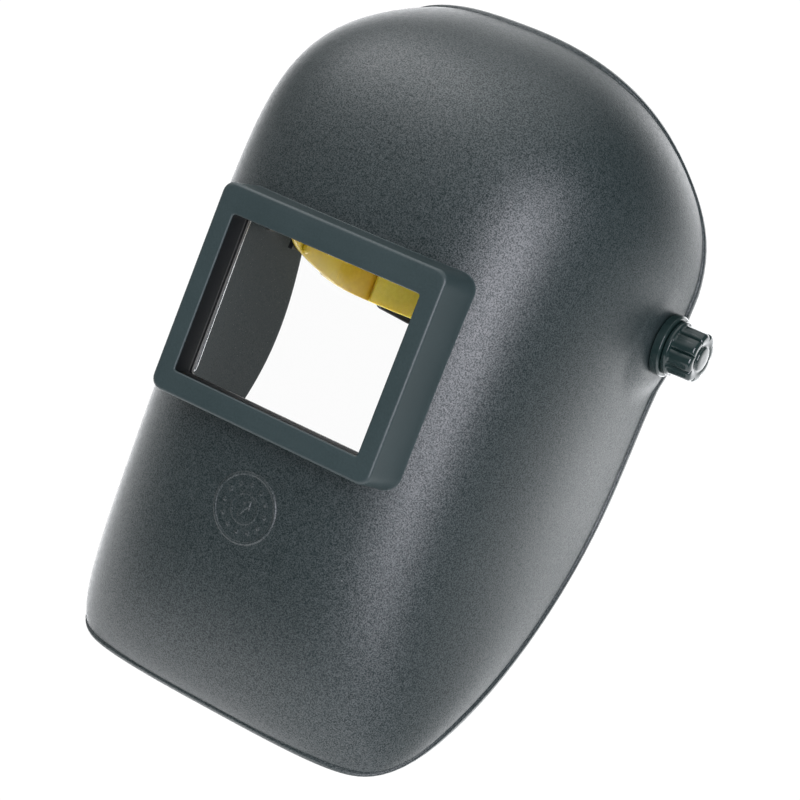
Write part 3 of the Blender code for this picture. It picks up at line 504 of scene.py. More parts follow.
def rect_ray(ang, w, h, r):
    c, s = np.cos(ang), np.sin(ang)
    k = 1.0 / np.maximum(np.abs(c), np.abs(s))
    x, y = w * c * k, h * s * k
    ax, ay = np.abs(x), np.abs(y)
    cx, cy = w - r, h - r
    px, py = ax - cx, ay - cy
    inc = (px > 0) & (py > 0)
    d = np.hypot(px, py)
    q = np.where(inc & (d > 0), r / np.maximum(d, 1e-9), 1.0)
    ax = np.where(inc, cx + px * q, ax)
    ay = np.where(inc, cy + py * q, ay)
    return np.sign(x) * ax, np.sign(y) * ay


def fan(n_side, n_corner=9, spread=7.0):
    near = list(np.linspace(-spread, spread, n_corner))
    quarter = [45 + a for a in near]
    first, last = quarter[0] + 90, quarter[-1]
    quarter += [last + (first - last) * k / (n_side + 1) for k in range(1, n_side + 1)]
    return np.radians([q + 90 * k for k in range(4) for q in quarter])


def surface_paths(ang, w, h, r, zc):
    """For each direction: the surface parameters from the window's edge to the rim, by length."""
    wx, wz = rect_ray(ang, w, h, r)
    wu, wv = shell_uv(wx, wz + zc)
    c, s = np.cos(ang), np.sin(ang)
    rad = (np.abs(c) ** CORNER_POWER + np.abs(s) ** CORNER_POWER) ** (-1 / CORNER_POWER)
    ru, rv = rad * c, (rad * s + 1) / 2
    m = 500
    k = np.linspace(0, 1, m)[:, None]
    P = shell_point(wu + (ru - wu) * k, wv + (rv - wv) * k)
    length = np.concatenate([np.zeros((1, len(ang))), np.cumsum(np.linalg.norm(np.diff(P, axis=0), axis=-1), axis=0)])
    return wu, wv, ru, rv, k[:, 0], length


def at_lengths(paths, S):
    """Points and outward normals at lengths S[row, dir] along each path."""
    wu, wv, ru, rv, k, length = paths
    n = length.shape[1]
    K = np.zeros_like(S)
    for i in range(n):
        K[:, i] = np.interp(S[:, i], length[:, i], k)
    U, V = wu + (ru - wu) * K, wv + (rv - wv) * K
    P = shell_point(U, V)
    return P, U, V


def grid_normals(P):
    du = np.roll(P, -1, axis=1) - np.roll(P, 1, axis=1)
    dr = np.gradient(P, axis=0)
    n = np.cross(du, dr)
    n /= np.maximum(np.linalg.norm(n, axis=-1, keepdims=True), 1e-9)
    if np.sum(n * (P - np.array([0, 110.0, 0]))) < 0:
        n = -n
    return n


CUT_W, CUT_H, CUT_Z = 60.5, 49.5, 1.0
# rim: distance in from the edge, height above the plain outer face
RIM_PROFILE = [(9.0, 0.0), (7.6, -0.02), (6.5, -0.05), (5.9, -0.14), (5.5, -0.28), (5.25, -0.34), (5.05, -0.28), (4.88, -0.08), (4.7, 0.22),
               (4.45, 0.52), (4.1, 0.74), (3.6, 0.84), (2.9, 0.88), (2.1, 0.88), (1.3, 0.82), (0.7, 0.62), (0.25, 0.2),
               (0.0, -0.55), (0.08, -1.2), (0.32, -1.7), (0.75, -2.12), (1.4, -2.4), (2.3, -2.5), (4.0, -2.5), (6.5, -2.5), (9.0, -2.5)]

EMBLEM_Z, EMBLEM_R = -85.9, 16.4


def emblem_height(x, z):
    """Raised moulding mark: a thin ring, a month dial of twelve dots and an arrow. In mm above the face."""
    dx, dz = x, (z - EMBLEM_Z)
    r = np.hypot(dx, dz)
    a = np.arctan2(dx, dz)

    def bump(d, w):
        return np.clip(1 - (d / w) ** 2, 0, 1)
    h = 0.42 * bump(np.abs(r - EMBLEM_R), 0.8)
    h = np.maximum(h, 0.22 * bump(np.abs(r - 7.2), 0.7))
    k = np.round(a / (math.pi / 6)) * (math.pi / 6)
    px, pz = 11.6 * np.sin(k), 11.6 * np.cos(k)
    h = np.maximum(h, 0.38 * bump(np.hypot(dx - px, dz - pz), 1.15))
    # arrow from the middle, pointing up and to the right
    ca, sa = math.cos(math.radians(30)), math.sin(math.radians(30))
    u, v = dx * sa + dz * ca, dx * ca - dz * sa
    shaft = (np.abs(v) < 0.8) & (u > -4.6) & (u < 2.0)
    head = (u >= 1.4) & (u < 5.0) & (np.abs(v) < (5.0 - u) * 0.62)
    h = np.maximum(h, np.where(shaft | head, 0.34, 0.0))
    return h


def build_shell():
    ang = fan(52, 24, 20.0)
    outer = surface_paths(ang, CUT_W + 0.8, CUT_H + 0.8, 6.0, CUT_Z)
    inner = surface_paths(ang, CUT_W + 2.2, CUT_H + 2.2, 6.5, CUT_Z)
    n_main = 84
    loops = []
    L = outer[5][-1]
    frac = np.linspace(0, 1, n_main)[:, None]
    S_main = frac * (L - RIM_PROFILE[0][0])
    S_rim = L - np.array([s for s, h in RIM_PROFILE[1:]])[:, None] * np.ones_like(L)
    S = np.concatenate([S_main, S_rim])
    off = np.concatenate([np.zeros(n_main), [h for s, h in RIM_PROFILE[1:]]])
    P, U, V = at_lengths(outer, S)
    turn = int(np.argmin([s for s, h in RIM_PROFILE[1:]])) + n_main     # row of the very edge
    # normals from the plain surface, so the roll keeps its section
    Pn, _, _ = at_lengths(outer, np.concatenate([S_main, L - np.array([7.6, 6.0, 4.5, 3.0, 1.5, 0.0])[:, None] * np.ones_like(L)]))
    N0 = grid_normals(Pn)
    base_s = np.concatenate([np.zeros(n_main), [7.6, 6.0, 4.5, 3.0, 1.5, 0.0]])
    N = np.zeros_like(P)
    N[:n_main] = N0[:n_main]
    rim_n = N0[n_main:]
    rs = np.array([7.6, 6.0, 4.5, 3.0, 1.5, 0.0])
    for j, (s, h) in enumerate(RIM_PROFILE[1:]):
        w = np.interp(min(s, 7.6), rs[::-1], np.arange(6)[::-1])
        a = int(math.floor(w)); b = min(5, a + 1); f = w - a
        nn = rim_n[a] * (1 - f) + rim_n[b] * f
        N[n_main + j] = nn / np.linalg.norm(nn, axis=-1, keepdims=True)
    Q = P + N * off[:, None, None]
    # inner rows back to the window
    Li = inner[5][-1]
    fi = np.linspace(1, 0, 46)[1:, None]
    Si = fi * (Li - RIM_PROFILE[-1][0])
    Pi, _, _ = at_lengths(inner, Si)
    Ni = grid_normals(Pi)
    Qi = Pi - Ni * WALL
    loops = np.concatenate([Q, Qi])
    bm = bmesh.new()
    skin_loops(bm, loops, close_rows=True)
    bm.faces.ensure_lookup_table()
    na = len(ang)
    for j in range(n_main + 20, len(loops)):          # the inner wall, behind the rolled edge
        for i in range(na):
            bm.faces[j * na + i].material_index = 1
    return bm


def bool_cut(ob, cutter_bm, op="DIFFERENCE"):
    """Apply a Boolean and keep the result in the mesh."""
    me = bpy.data.meshes.new("cut")
    bmesh.ops.recalc_face_normals(cutter_bm, faces=cutter_bm.faces)
    cutter_bm.to_mesh(me)
    cutter_bm.free()
    cu = bpy.data.objects.new("cut", me)
    SC.collection.objects.link(cu)
    m = ob.modifiers.new("cut", "BOOLEAN")
    m.operation = op
    m.solver = "EXACT"
    m.object = cu
    dg = bpy.context.evaluated_depsgraph_get()
    dg.update()
    new = bpy.data.meshes.new_from_object(ob.evaluated_get(dg))
    mats = [s for s in ob.data.materials]
    ob.modifiers.clear()
    old = ob.data
    ob.data = new
    if not new.materials:
        for s in mats:
            new.materials.append(s)
    bpy.data.meshes.remove(old)
    bpy.data.objects.remove(cu, do_unlink=True)
    bpy.data.meshes.remove(me)
    return ob


def resmooth(ob, deg):
    ob.data.shade_smooth()
    ob.data.set_sharp_from_angle(angle=math.radians(deg))


shell = add("shell_fine", build_shell(), M_SHELL, "helmet", ("shell",), 0)
shell.data.materials.append(M_INNER)
for sx in (1, -1):
    bm = bmesh.new()
    lathe(bm, [(0, 8), (3.6, 8), (3.6, -8), (0, -8)], (sx * BOSS_X, PB, PU), "X", 32)
    bool_cut(shell, bm)
    a = math.radians(125)
    bm = bmesh.new()
    bmesh.ops.create_cube(bm, size=1.0, matrix=Matrix.Translation(out(sx * 107.6, PB + 15.8 * math.cos(a), PU + 15.8 * math.sin(a)))
                          @ Matrix.Rotation(a, 4, "X") @ Matrix.Diagonal((6.0 * MM, 3.0 * MM, 4.0 * MM, 1.0)))
    bool_cut(shell, bm, "UNION")
resmooth(shell, 35)


def second_material(ob, mat, test):
    """Give the faces that pass test(centre, normal), in drawing mm, a second material."""
    ob.data.materials.append(mat)
    k = len(ob.data.materials) - 1
    off = np.array([0.0, PB, PU])
    for f in ob.data.polygons:
        c = np.array(f.center) / MM + off
        if test(c, f.normal):
            f.material_index = k


# ======================================================== window frame
OPEN_W, OPEN_H = 52.6, 38.9
FACE_SIDE, FACE_TOP, FACE_BOTTOM = 62.7, 52.7, -50.3
BASE_SIDE, BASE_TOP, BASE_BOTTOM = 65.2, 53.9, -51.6
SPIGOT_W, SPIGOT_H, SPIGOT_WALL = 60.1, 49.1, 2.5
LIP_DEPTH = 13.0


def build_frame():
    ang = fan(30, 17, 6.5)
    zf, hf = (FACE_TOP + FACE_BOTTOM) / 2, (FACE_TOP - FACE_BOTTOM) / 2
    zb, hb = (BASE_TOP + BASE_BOTTOM) / 2, (BASE_TOP - BASE_BOTTOM) / 2
    loops = []

    def ring(w, h, r, zc, y):
        x, z = rect_ray(ang, w, h, r)
        z = z + zc
        yy = y(x, z) if callable(y) else np.full_like(x, y)
        loops.append(np.stack([x, yy, z], -1))
    on_shell = lambda x, z: shell_front(x, z) - 0.12
    behind = lambda x, z: shell_front(x, z) + WALL + 2.2
    # inner edge of the opening, 0.8 mm radius, then the flat face
    for a in np.linspace(0, math.pi / 2, 5):
        e = 0.8
        ring(OPEN_W + e * (1 - math.cos(a)), OPEN_H + e * (1 - math.cos(a)), 1.2, 0.0, e * (1 - math.sin(a)))
    for t in (0.35, 0.75):
        ring(OPEN_W + 0.8 + t * (FACE_SIDE - 2.2 - OPEN_W - 0.8), OPEN_H + 0.8 + t * (hf - 2.2 - OPEN_H - 0.8), 1.2 + 3.6 * t, zf * t, 0.0)
    # outer edge radius
    e = 1.7
    for a in np.linspace(0, math.pi / 2, 7):
        ring(FACE_SIDE - e * (1 - math.sin(a)), hf - e * (1 - math.sin(a)), 5.6, zf, e * (1 - math.cos(a)))
    # drafted walls to the base on the shell
    base = []
    xb, zb_ = rect_ray(ang, BASE_SIDE, hb, 8.0)
    zb_ = zb_ + zb
    yb = on_shell(xb, zb_)
    base = np.stack([xb, yb, zb_], -1)
    top = loops[-1]
    for t in (0.15, 0.4, 0.7, 0.93):
        loops.append(top * (1 - t) + base * t)
    # tiny fillet where the wall meets the shell
    loops.append(base + np.array([0, -0.15, 0]))
    flare = loops[-1].copy()
    ctr = np.array([0, 0, zb])
    d = base - ctr
    d[:, 1] = 0
    d /= np.linalg.norm(d, axis=1)[:, None]
    xo, zo = base[:, 0] + d[:, 0] * 0.35, base[:, 2] + d[:, 2] * 0.35
    loops.append(np.stack([xo, shell_front(xo, zo) - 0.02, zo], -1))
    ring(SPIGOT_W + 1.5, SPIGOT_H + 1.5, 6.2, CUT_Z, on_shell)
    ring(SPIGOT_W, SPIGOT_H, 5.6, CUT_Z, on_shell)
    ring(SPIGOT_W, SPIGOT_H, 5.6, CUT_Z, lambda x, z: behind(x, z) - 0.6)
    ring(SPIGOT_W - 0.5, SPIGOT_H - 0.5, 5.2, CUT_Z, behind)
    ring(SPIGOT_W - SPIGOT_WALL + 0.5, SPIGOT_H - SPIGOT_WALL + 0.5, 3.9, CUT_Z, behind)
    ring(SPIGOT_W - SPIGOT_WALL, SPIGOT_H - SPIGOT_WALL, 3.4, CUT_Z, lambda x, z: behind(x, z) - 0.6)
    ring(SPIGOT_W - SPIGOT_WALL, SPIGOT_H - SPIGOT_WALL, 3.4, CUT_Z, 3.6)
    ring(SPIGOT_W - SPIGOT_WALL - 0.4, SPIGOT_H - SPIGOT_WALL - 0.4, 3.1, CUT_Z, 3.2)
    ring(OPEN_W + 3.4, OPEN_H + 3.4, 2.8, 0.0, 3.2)
    ring(OPEN_W + 3.0, OPEN_H + 3.0, 2.5, 0.0, 3.6)
    ring(OPEN_W + 3.0, OPEN_H + 3.0, 2.5, 0.0, LIP_DEPTH - 0.4)
    ring(OPEN_W + 2.6, OPEN_H + 2.6, 2.3, 0.0, LIP_DEPTH)
    e = 0.7
    for a in np.linspace(0, math.pi / 2, 4):
        ring(OPEN_W + e * (1 - math.sin(a)), OPEN_H + e * (1 - math.sin(a)), 1.2, 0.0, LIP_DEPTH - e * (1 - math.cos(a)))
    ring(OPEN_W, OPEN_H, 1.2, 0.0, LIP_DEPTH * 0.5)
    bm = bmesh.new()
    skin_loops(bm, loops, close_rows=True)
    return bm


wf = add("window_frame_fine", build_frame(), M_FRAME, "helmet", ("window_frame",), 0)
BAIL_Y, BAIL_Z = 21.6, -39.0
for sx in (1, -1):
    bm = bmesh.new()
    lathe(bm, [(0, 4), (1.3, 4), (1.3, -4), (0, -4)], (sx * 59.0, BAIL_Y, BAIL_Z), "X", 20)
    bool_cut(wf, bm)
resmooth(wf, 50)
# the inner walls of the window opening take the near-black painted shade
second_material(wf, M_OPENING_SHADE, lambda c, n: c[1] > 1.0 and abs(c[0]) < 58.2 and -46 < c[2] < 48 and n[1] > -0.6)

# ======================================================== emblem on the lower face
def build_emblem():
    n = 230
    half = EMBLEM_R + 1.5
    g = np.linspace(-half, half, n)
    X, Z = np.meshgrid(g, g + EMBLEM_Z)
    r = np.hypot(X, Z - EMBLEM_Z)
    H = emblem_height(X, Z)
    # soften the relief so that its sides are moulded, not cut
    K = np.array([1, 2, 1]) / 4.0
    for _ in range(2):
        H = K[0] * np.roll(H, 1, 0) + K[1] * H + K[2] * np.roll(H, -1, 0)
        H = K[0] * np.roll(H, 1, 1) + K[1] * H + K[2] * np.roll(H, -1, 1)
    lift = np.where(r > half - 0.5, -0.12, 0.025)
    N = shell_normal_xz(X, Z)
    P = np.stack([X, shell_front(X, Z), Z], -1) + N * (H + lift)[..., None]
    bm = bmesh.new()
    inside = r <= half
    W = outa(P)
    vs = {}
    for j in range(n):
        for i in range(n):
            if inside[j, i]:
                vs[j, i] = bm.verts.new(W[j, i])
    for j in range(n - 1):
        for i in range(n - 1):
            q = [(j, i), (j, i + 1), (j + 1, i + 1), (j + 1, i)]
            if all(k in vs for k in q):
                bm.faces.new([vs[k] for k in q])
    return bm


add("emblem_relief", build_emblem(), M_SHELL, "helmet", (), 0)

# ======================================================== pivot knobs, washers, inserts
def lobe_outline(r, depth, lobes, per, valley=2.6):
    """Broad lobes with narrow valleys."""
    a = np.linspace(0, 2 * math.pi, lobes * per, endpoint=False)
    f = np.abs(np.sin(a * lobes / 2))
    rr = r - depth * (1 - f ** (2 / valley))
    return np.stack([rr * np.cos(a), rr * np.sin(a)], 1)


def axes_for(axis):
    A = {"X": ((0, 1, 0), (0, 0, 1), (1, 0, 0)), "-X": ((0, -1, 0), (0, 0, 1), (-1, 0, 0)),
         "Y": ((-1, 0, 0), (0, 0, 1), (0, 1, 0))}[axis]
    return np.array(A, float)


def lobed_solid(bm, rows, r, lobes, per, centre, axis, valley=2.6, back_pocket=None):
    """rows: (height, radius scale in mm off r, depth of the valleys). Ends left open."""
    A = axes_for(axis)
    c = np.array(centre, float)
    loops = []
    for h, dr, depth in rows:
        P = lobe_outline(r + dr, depth, lobes, per, valley)
        loops.append(c + np.outer(P[:, 0], A[0]) + np.outer(P[:, 1], A[1]) + A[2] * h)
    vs = skin_loops(bm, loops)
    return vs, A, c


def close_disc(bm, ring, rows, A, c):
    """From a ring inward by (radius, height) rows to the axis."""
    n = len(ring)
    prev = ring
    an0 = None
    for r, h in rows:
        if r <= 1e-6:
            v = bm.verts.new(outa(c + A[2] * h))
            for i in range(n):
                bm.faces.new((prev[i], prev[(i + 1) % n], v))
            return
        an = np.linspace(0, 2 * math.pi, n, endpoint=False)
        P = outa(c + np.outer(np.cos(an) * r, A[0]) + np.outer(np.sin(an) * r, A[1]) + A[2] * h)
        cur = [bm.verts.new(p) for p in P]
        for i in range(n):
            k = (i + 1) % n
            bm.faces.new((prev[i], prev[k], cur[k], cur[i]))
        prev = cur


for side, sx in (("left", 1), ("right", -1)):
    ax = "X" if sx > 0 else "-X"
    c0 = (sx * BOSS_X, PB, PU)
    # collar with a rolled edge and a shallow step
    bm = bmesh.new()
    prof = round_profile([(3.5, 0.6), (15.6, 0.6, 0.5), (15.6, 4.7, 0.5), (14.9, 5.4, 0.3), (14.2, 5.4), (14.1, 5.2), (3.5, 5.2)], 0.5, 5)
    lathe(bm, prof, c0, ax, 96)
    add("knob_collar_" + side, bm, M_KNOB, "helmet", ("knob_washer_" + side,), 38)
    # grip: eight ribs, rounded at the end, a raised boss in the end face
    bm = bmesh.new()
    D = 2.3
    rows = [(5.72, 0.2, 0.0), (5.72, 0.6, 0.0), (5.9, 0.9, 0.0), (6.2, 1.0, 0.0), (7.9, 1.0, 0.0), (8.25, 0.8, 0.0), (8.4, 0.45, D * 0.2), (8.7, 0.2, D * 0.8), (9.1, 0.15, D), (13.0, 0.1, D), (17.6, 0.0, D), (18.5, -0.1, D),
            (19.1, -0.35, D * 0.99), (19.5, -0.85, D * 0.95), (19.78, -1.3, D * 0.87), (19.88, -1.9, D * 0.72), (19.9, -2.8, D * 0.45)]
    rows = [(h + (0.7 if h > 9.0 else 0.0) if h < 14 else h + 1.0, dr, d) for h, dr, d in rows]
    vs, A, c = lobed_solid(bm, rows, 12.75, 8, 20, c0, ax, 5.5)
    close_disc(bm, vs[-1], [(8.4, 20.86), (7.6, 20.62), (6.6, 20.6), (6.2, 20.8), (6.05, 21.3), (5.8, 21.52), (5.3, 21.65), (2.2, 21.7), (0, 21.7)], A, c)
    close_disc(bm, vs[0], [(10.0, 5.7), (6.4, 5.7), (6.3, 5.9), (6.3, 17.4), (0, 17.4)], A, c)
    add("knob_grip_" + side, bm, M_KNOB, "knob_" + side, ("pivot_knob_" + side,), 42)
    bm = bmesh.new()
    prof = [(3.4, 6.1), (5.6, 6.1), (6.0, 6.5), (6.0, 8.4), (5.5, 8.8), (5.5, 11.2), (6.0, 11.6), (6.0, 16.0), (5.6, 16.5), (3.4, 16.5)]
    lathe(bm, prof, c0, ax, 48)
    add("knob_thread_insert_" + side, bm, M_BRASS, "knob_" + side, ("knob_insert_" + side,), 30)


# ======================================================== straps and bands
BAND_X = 80.0
BAND_FRONT, BAND_MID, BAND_TURN, BAND_REAR = 55.0, 118.0, 178.0, 235.0
BAND_END, STRAP_TIP, STRAP_X = 162.0, 145.0, 82.4


def band_low(y):
    s = np.clip((BAND_REAR - np.asarray(y, float)) / 180.0, 0, 1.05)
    return 7.0 + 46.0 * s ** 2.2


def front_path(off, end, n_arc, limit=1.0):
    pts = []
    if end is not None:
        pts += [(BAND_X + off, v) for v in np.linspace(end, BAND_MID, 26)[:-1]]
    for k in range(n_arc + 1):
        a = math.pi * 0.5 * (1 - limit) + math.pi * limit * k / n_arc
        pts.append(((BAND_X + off) * math.cos(a), BAND_MID - (BAND_MID - BAND_FRONT + off) * math.sin(a)))
    if end is not None:
        pts += [(-(BAND_X + off), v) for v in np.linspace(BAND_MID, end, 26)[1:]]
    return np.array(pts)


def rear_path(off, turn_x, y_tip, x_end, n_arc=30, inner=0.0):
    pts = [(turn_x, v) for v in np.linspace(y_tip, BAND_TURN, 18)[:-1]]
    for k in range(n_arc + 1):
        a = math.pi * k / n_arc
        w = min(1.0, a / math.radians(50))
        d = off - inner * w * w * (3 - 2 * w)
        x, y = (turn_x + d - off) * math.cos(a), BAND_TURN + (BAND_REAR - BAND_TURN + 1.0 + d) * math.sin(a)
        if x < x_end:
            break
        pts.append((x, y))
    return np.array(pts)


def strip(bm, low, high, thick, edge=0.45, out_hint=(0, 130, 40), bead=0.0, rib=None, end_inset=1.2, seg=3):
    """A strap between two edge lines, with rounded edges and ends. bead raises both margins on the outside."""
    low, high = np.asarray(low, float), np.asarray(high, float)
    mid = (low + high) / 2
    T = np.gradient(mid, axis=0)
    T /= np.linalg.norm(T, axis=1)[:, None]
    Wd = high - low
    hw = np.linalg.norm(Wd, axis=1) / 2
    Wd = Wd / (2 * hw)[:, None]
    N = np.cross(T, Wd)
    N /= np.linalg.norm(N, axis=1)[:, None]
    if np.sum(N * (mid - np.array(out_hint, float))) < 0:
        N = -N
    # section (across, through): from the inner low corner round
    e = min(edge, thick / 2 - 0.01)
    half = thick / 2

    def section(w):
        pts = []
        for cx, cy, a0 in ((w - e, half - e, 90), (w - e, -half + e, 0), (-w + e, -half + e, -90), (-w + e, half - e, -180)):
            for k in range(seg + 1):
                a = math.radians(a0 - 90 * k / seg)
                pts.append((cx + e * math.cos(a), cy + e * math.sin(a)))
        # outside margin bead
        if bead > 0:
            m = min(1.6, w * 0.2)
            row = [(-w + e + m, half + bead), (-w + e + m + 0.5, half), (w - e - m - 0.5, half), (w - e - m, half + bead)]
            pts = [(x, y + (bead if y > 0 else 0)) for x, y in pts] + row
        return np.array(pts)
    loops = []
    n = len(mid)

    def ring(i, shrink, shift):
        s = section(hw[i] - shrink)
        s[:, 1] *= (half - min(shrink, half * 0.8)) / half if shrink else 1.0
        return mid[i] + T[i] * shift + np.outer(s[:, 0], Wd[i]) + np.outer(s[:, 1], N[i])
    loops.append(ring(0, e, 0))
    loops.append(ring(0, e * 0.3, e * 0.3))
    for i in range(n):
        if i == 0:
            loops.append(ring(0, 0, e))
        elif i == n - 1:
            loops.append(ring(i, 0, -e))
        else:
            loops.append(ring(i, 0, 0))
    loops.append(ring(n - 1, e * 0.3, -e * 0.3))
    loops.append(ring(n - 1, e, 0))
    skin_loops(bm, loops, cap_start=True, cap_end=True)


def dense(P, n):
    P = np.asarray(P, float)
    d = np.concatenate([[0], np.cumsum(np.linalg.norm(np.diff(P, axis=0), axis=1))])
    t = np.linspace(0, d[-1], n)
    return np.stack([np.interp(t, d, P[:, k]) for k in range(P.shape[1])], 1)


def hole(centre, r, length, axis, steps=32):
    bm = bmesh.new()
    lathe(bm, [(0, length / 2), (r, length / 2), (r, -length / 2), (0, -length / 2)], centre, axis, steps)
    return bm


def plug(outline, y0, y1, plane, centre):
    bm = bmesh.new()
    A = axes_for(plane) if plane != "Z" else np.eye(3)
    P = np.array(outline, float)
    c = np.array(centre, float)
    loops = [c + np.outer(P[:, 0], A[0]) + np.outer(P[:, 1], A[1]) + A[2] * h for h in (y0, y1)]
    skin_loops(bm, loops, cap_start=True, cap_end=True)
    return bm


def round_rect(w, h, r, seg=6, cx=0.0, cy=0.0):
    pts = []
    for sx_, sy_, a0 in ((1, 1, 0), (-1, 1, 90), (-1, -1, 180), (1, -1, 270)):
        for k in range(seg + 1):
            a = math.radians(a0 + 90 * k / seg)
            pts.append((cx + sx_ * (w - r) + r * math.cos(a), cy + sy_ * (h - r) + r * math.sin(a)))
    return pts


# ---- front half of the ring
p = dense(front_path(0.0, BAND_END, 120), 260)
ys = p[:, 1]
brow = np.clip((110 - ys) / 55, 0, 1) * 4
low = np.column_stack([p, band_low(ys)])
high = np.column_stack([p, band_low(ys) + 29 + brow])
bm = bmesh.new()
strip(bm, low, high, 2.0, 0.7, bead=0.0)
band = add("headband_fine", bm, M_YELLOW, "headgear", ("headband_front",), 0)
for sx in (1, -1):
    for z in (49.7, 28.3):
        bool_cut(band, hole((sx * 80, 120.0, z), 2.4, 10, "X"))
    bool_cut(band, hole((sx * 80, 142.0, 36.0), 3.35, 10, "X"))
resmooth(band, 40)

# raised margins moulded on the outside of the front band
for tag, dz0, dz1 in (("lower", 2.2, 3.6), ("upper", -3.6, -2.2)):
    q = dense(front_path(1.0, 158.0, 120), 240)
    yq = q[:, 1]
    bq = np.clip((110 - yq) / 55, 0, 1) * 4
    base = band_low(yq) if tag == "lower" else band_low(yq) + 29 + bq
    bm = bmesh.new()
    strip(bm, np.column_stack([q, base + dz0]), np.column_stack([q, base + dz1]), 0.9, 0.35)
    add("headband_rib_" + tag, bm, M_YELLOW, "headgear", (), 40)

# ---- rear straps, with the rack cut in one edge of each slot
for side, sx, inner, x_end in (("left", 1, 2.3, -75.5), ("right", -1, 0.0, -48.0)):
    q = rear_path(0.0, STRAP_X, STRAP_TIP, x_end, 180, inner)
    if sx < 0:
        q = np.stack([-q[:, 0], q[:, 1]], 1)
    q = dense(q, 230)
    yq = q[:, 1]
    tip = np.clip((152 - yq) / 7, 0, 1) ** 2 * 8.0
    bm = bmesh.new()
    strip(bm, np.column_stack([q, band_low(yq) + tip]), np.column_stack([q, band_low(yq) + 25 - tip]), 1.7, 0.6, out_hint=(0, 170, 20))
    # the left rear strap takes the brighter yellow copy, which is painted light
    st = add("rear_strap_fine_" + side, bm, M_YELLOW_PAINTED_LIT if side == "left" else M_YELLOW, "rear_adjuster", ("rear_strap_" + side,), 0)
    flat = [(x, 7.4 * sx) for x in (-30, 30)]
    teeth = []
    k = -29.0
    while k < 29.0:
        teeth += [(k, 5.2), (k + 0.9, 7.3), (k + 2.0, 7.3), (k + 2.9, 5.2)]
        k += 3.9
    outline = [(-30, -6.0), (-28.6, -7.4), (28.6, -7.4), (30, -6.0), (30, 5.2)] + list(reversed(teeth)) + [(-30, 5.2)]
    if sx < 0:
        outline = [(x, -z) for x, z in outline]
    bool_cut(st, plug(outline, -13, 13, "Y", (0, 232, 19.5)))
    resmooth(st, 40)
    # ladder of position marks along the outside, near the joint with the front band
    for j, yv in enumerate((150.0, 156.0)):
        bm = bmesh.new()
        zc = float(band_low(yv)) + 12.5
        extrude_outline(bm, round_rect(0.7, 5.5, 0.6, 3), 0.0, 1.15, "X" if sx > 0 else "-X", (sx * STRAP_X, yv, zc), 0.3, 2)
        add("strap_mark_%s_%d" % (side, j), bm, M_YELLOW, "rear_adjuster", (), 40)

# ---- curved housing behind the straps
hx, hy = STRAP_X + 2.4, BAND_REAR - BAND_TURN + 1.0 + 2.4
xs = 75.0 - 150.0 * np.linspace(0, 1, 150)
q = dense(np.stack([xs, BAND_TURN + hy * np.sqrt(1 - (xs / hx) ** 2)], 1), 190)
ax_ = np.abs(q[:, 0])
grow = 1.3 + 2.2 * np.clip((75 - ax_) / 14, 0, 1)
end_taper = np.clip((ax_ - 73.0) / 2.0, 0, 1) ** 2 * 0.9
lowz, highz = band_low(q[:, 1]) - grow + end_taper, band_low(q[:, 1]) + 25 + grow - end_taper
bm = bmesh.new()
strip(bm, np.column_stack([q, lowz]), np.column_stack([q, highz]), 2.0, 0.8, out_hint=(0, 170, 20))
hs = add("ratchet_housing_fine", bm, M_BLACK, "rear_adjuster", ("ratchet_housing",), 0)
bool_cut(hs, hole((0, 238, 19.5), 9.6, 20, "Y", 48))
for sx in (1, -1):
    bool_cut(hs, hole((sx * 18.6, 236.4, 19.5), 1.5, 20, "Y", 20))
resmooth(hs, 40)
# stiffening ribs on the back of the housing, either side of the cover
for side, sx in (("left", 1), ("right", -1)):
    for j, dz in enumerate((-8.0, 0.0, 8.0)):
        xr = sx * np.linspace(30, 57, 40)
        rr = np.stack([xr, BAND_TURN + (hy + 1.0) * np.sqrt(1 - (xr / (hx + 1.0)) ** 2)], 1)
        zc = band_low(rr[:, 1]) + 12.5 + dz
        bm = bmesh.new()
        strip(bm, np.column_stack([rr, zc - 0.9]), np.column_stack([rr, zc + 0.9]), 1.5, 0.6, out_hint=(0, 170, 20))
        add("housing_rib_%s_%d" % (side, j), bm, M_BLACK, "rear_adjuster", (), 40)
REAR_OUT = BAND_TURN + hy + 1.0
COVER_Z = 19.5
bm = bmesh.new()
extrude_outline(bm, round_rect(24, 16.5, 9, 10), REAR_OUT + 0.4, REAR_OUT + 10.4, "Y", (0, 0, COVER_Z), 1.4, 5)
cv = add("ratchet_cover_fine", bm, M_BLACK, "rear_adjuster", ("ratchet_cover",), 0)
bool_cut(cv, hole((0, REAR_OUT + 3.4, COVER_Z), 13.0, 9.0, "Y", 64))
bool_cut(cv, hole((0, REAR_OUT + 6, COVER_Z), 4.4, 30, "Y", 32))
for sx in (1, -1):
    bool_cut(cv, hole((sx * 18.6, REAR_OUT + 4, COVER_Z), 1.5, 30, "Y", 20))
resmooth(cv, 40)

# ---- adjusting knob: ribbed grip, dished face with a direction arrow
bm = bmesh.new()
c0 = (0, REAR_OUT + 13.8, COVER_Z)
rows = [(0.0, -1.4, 0.8), (0.25, -0.7, 1.1), (0.8, -0.15, 1.5), (1.6, 0.0, 1.6), (5.0, 0.0, 1.6), (8.4, -0.1, 1.6), (9.6, -0.4, 1.5), (10.4, -1.0, 1.3), (10.85, -1.9, 1.0), (11.0, -3.0, 0.5)]
vs, A, c = lobed_solid(bm, rows, 20.0, 20, 12, c0, "Y", 2.2)
close_disc(bm, vs[-1], [(15.6, 10.95), (15.0, 10.7), (14.2, 9.9), (13.4, 9.6), (6.0, 9.3), (5.2, 9.5), (4.8, 9.9), (4.0, 10.1), (0, 10.1)], A, c)
close_disc(bm, vs[0], [(12.0, 0.0), (4.8, 0.0), (4.4, 0.4), (4.4, 4.0), (0, 4.0)], A, c)
add("ratchet_knob_fine", bm, M_BLACK, "ratchet_dial", ("ratchet_knob",), 42)
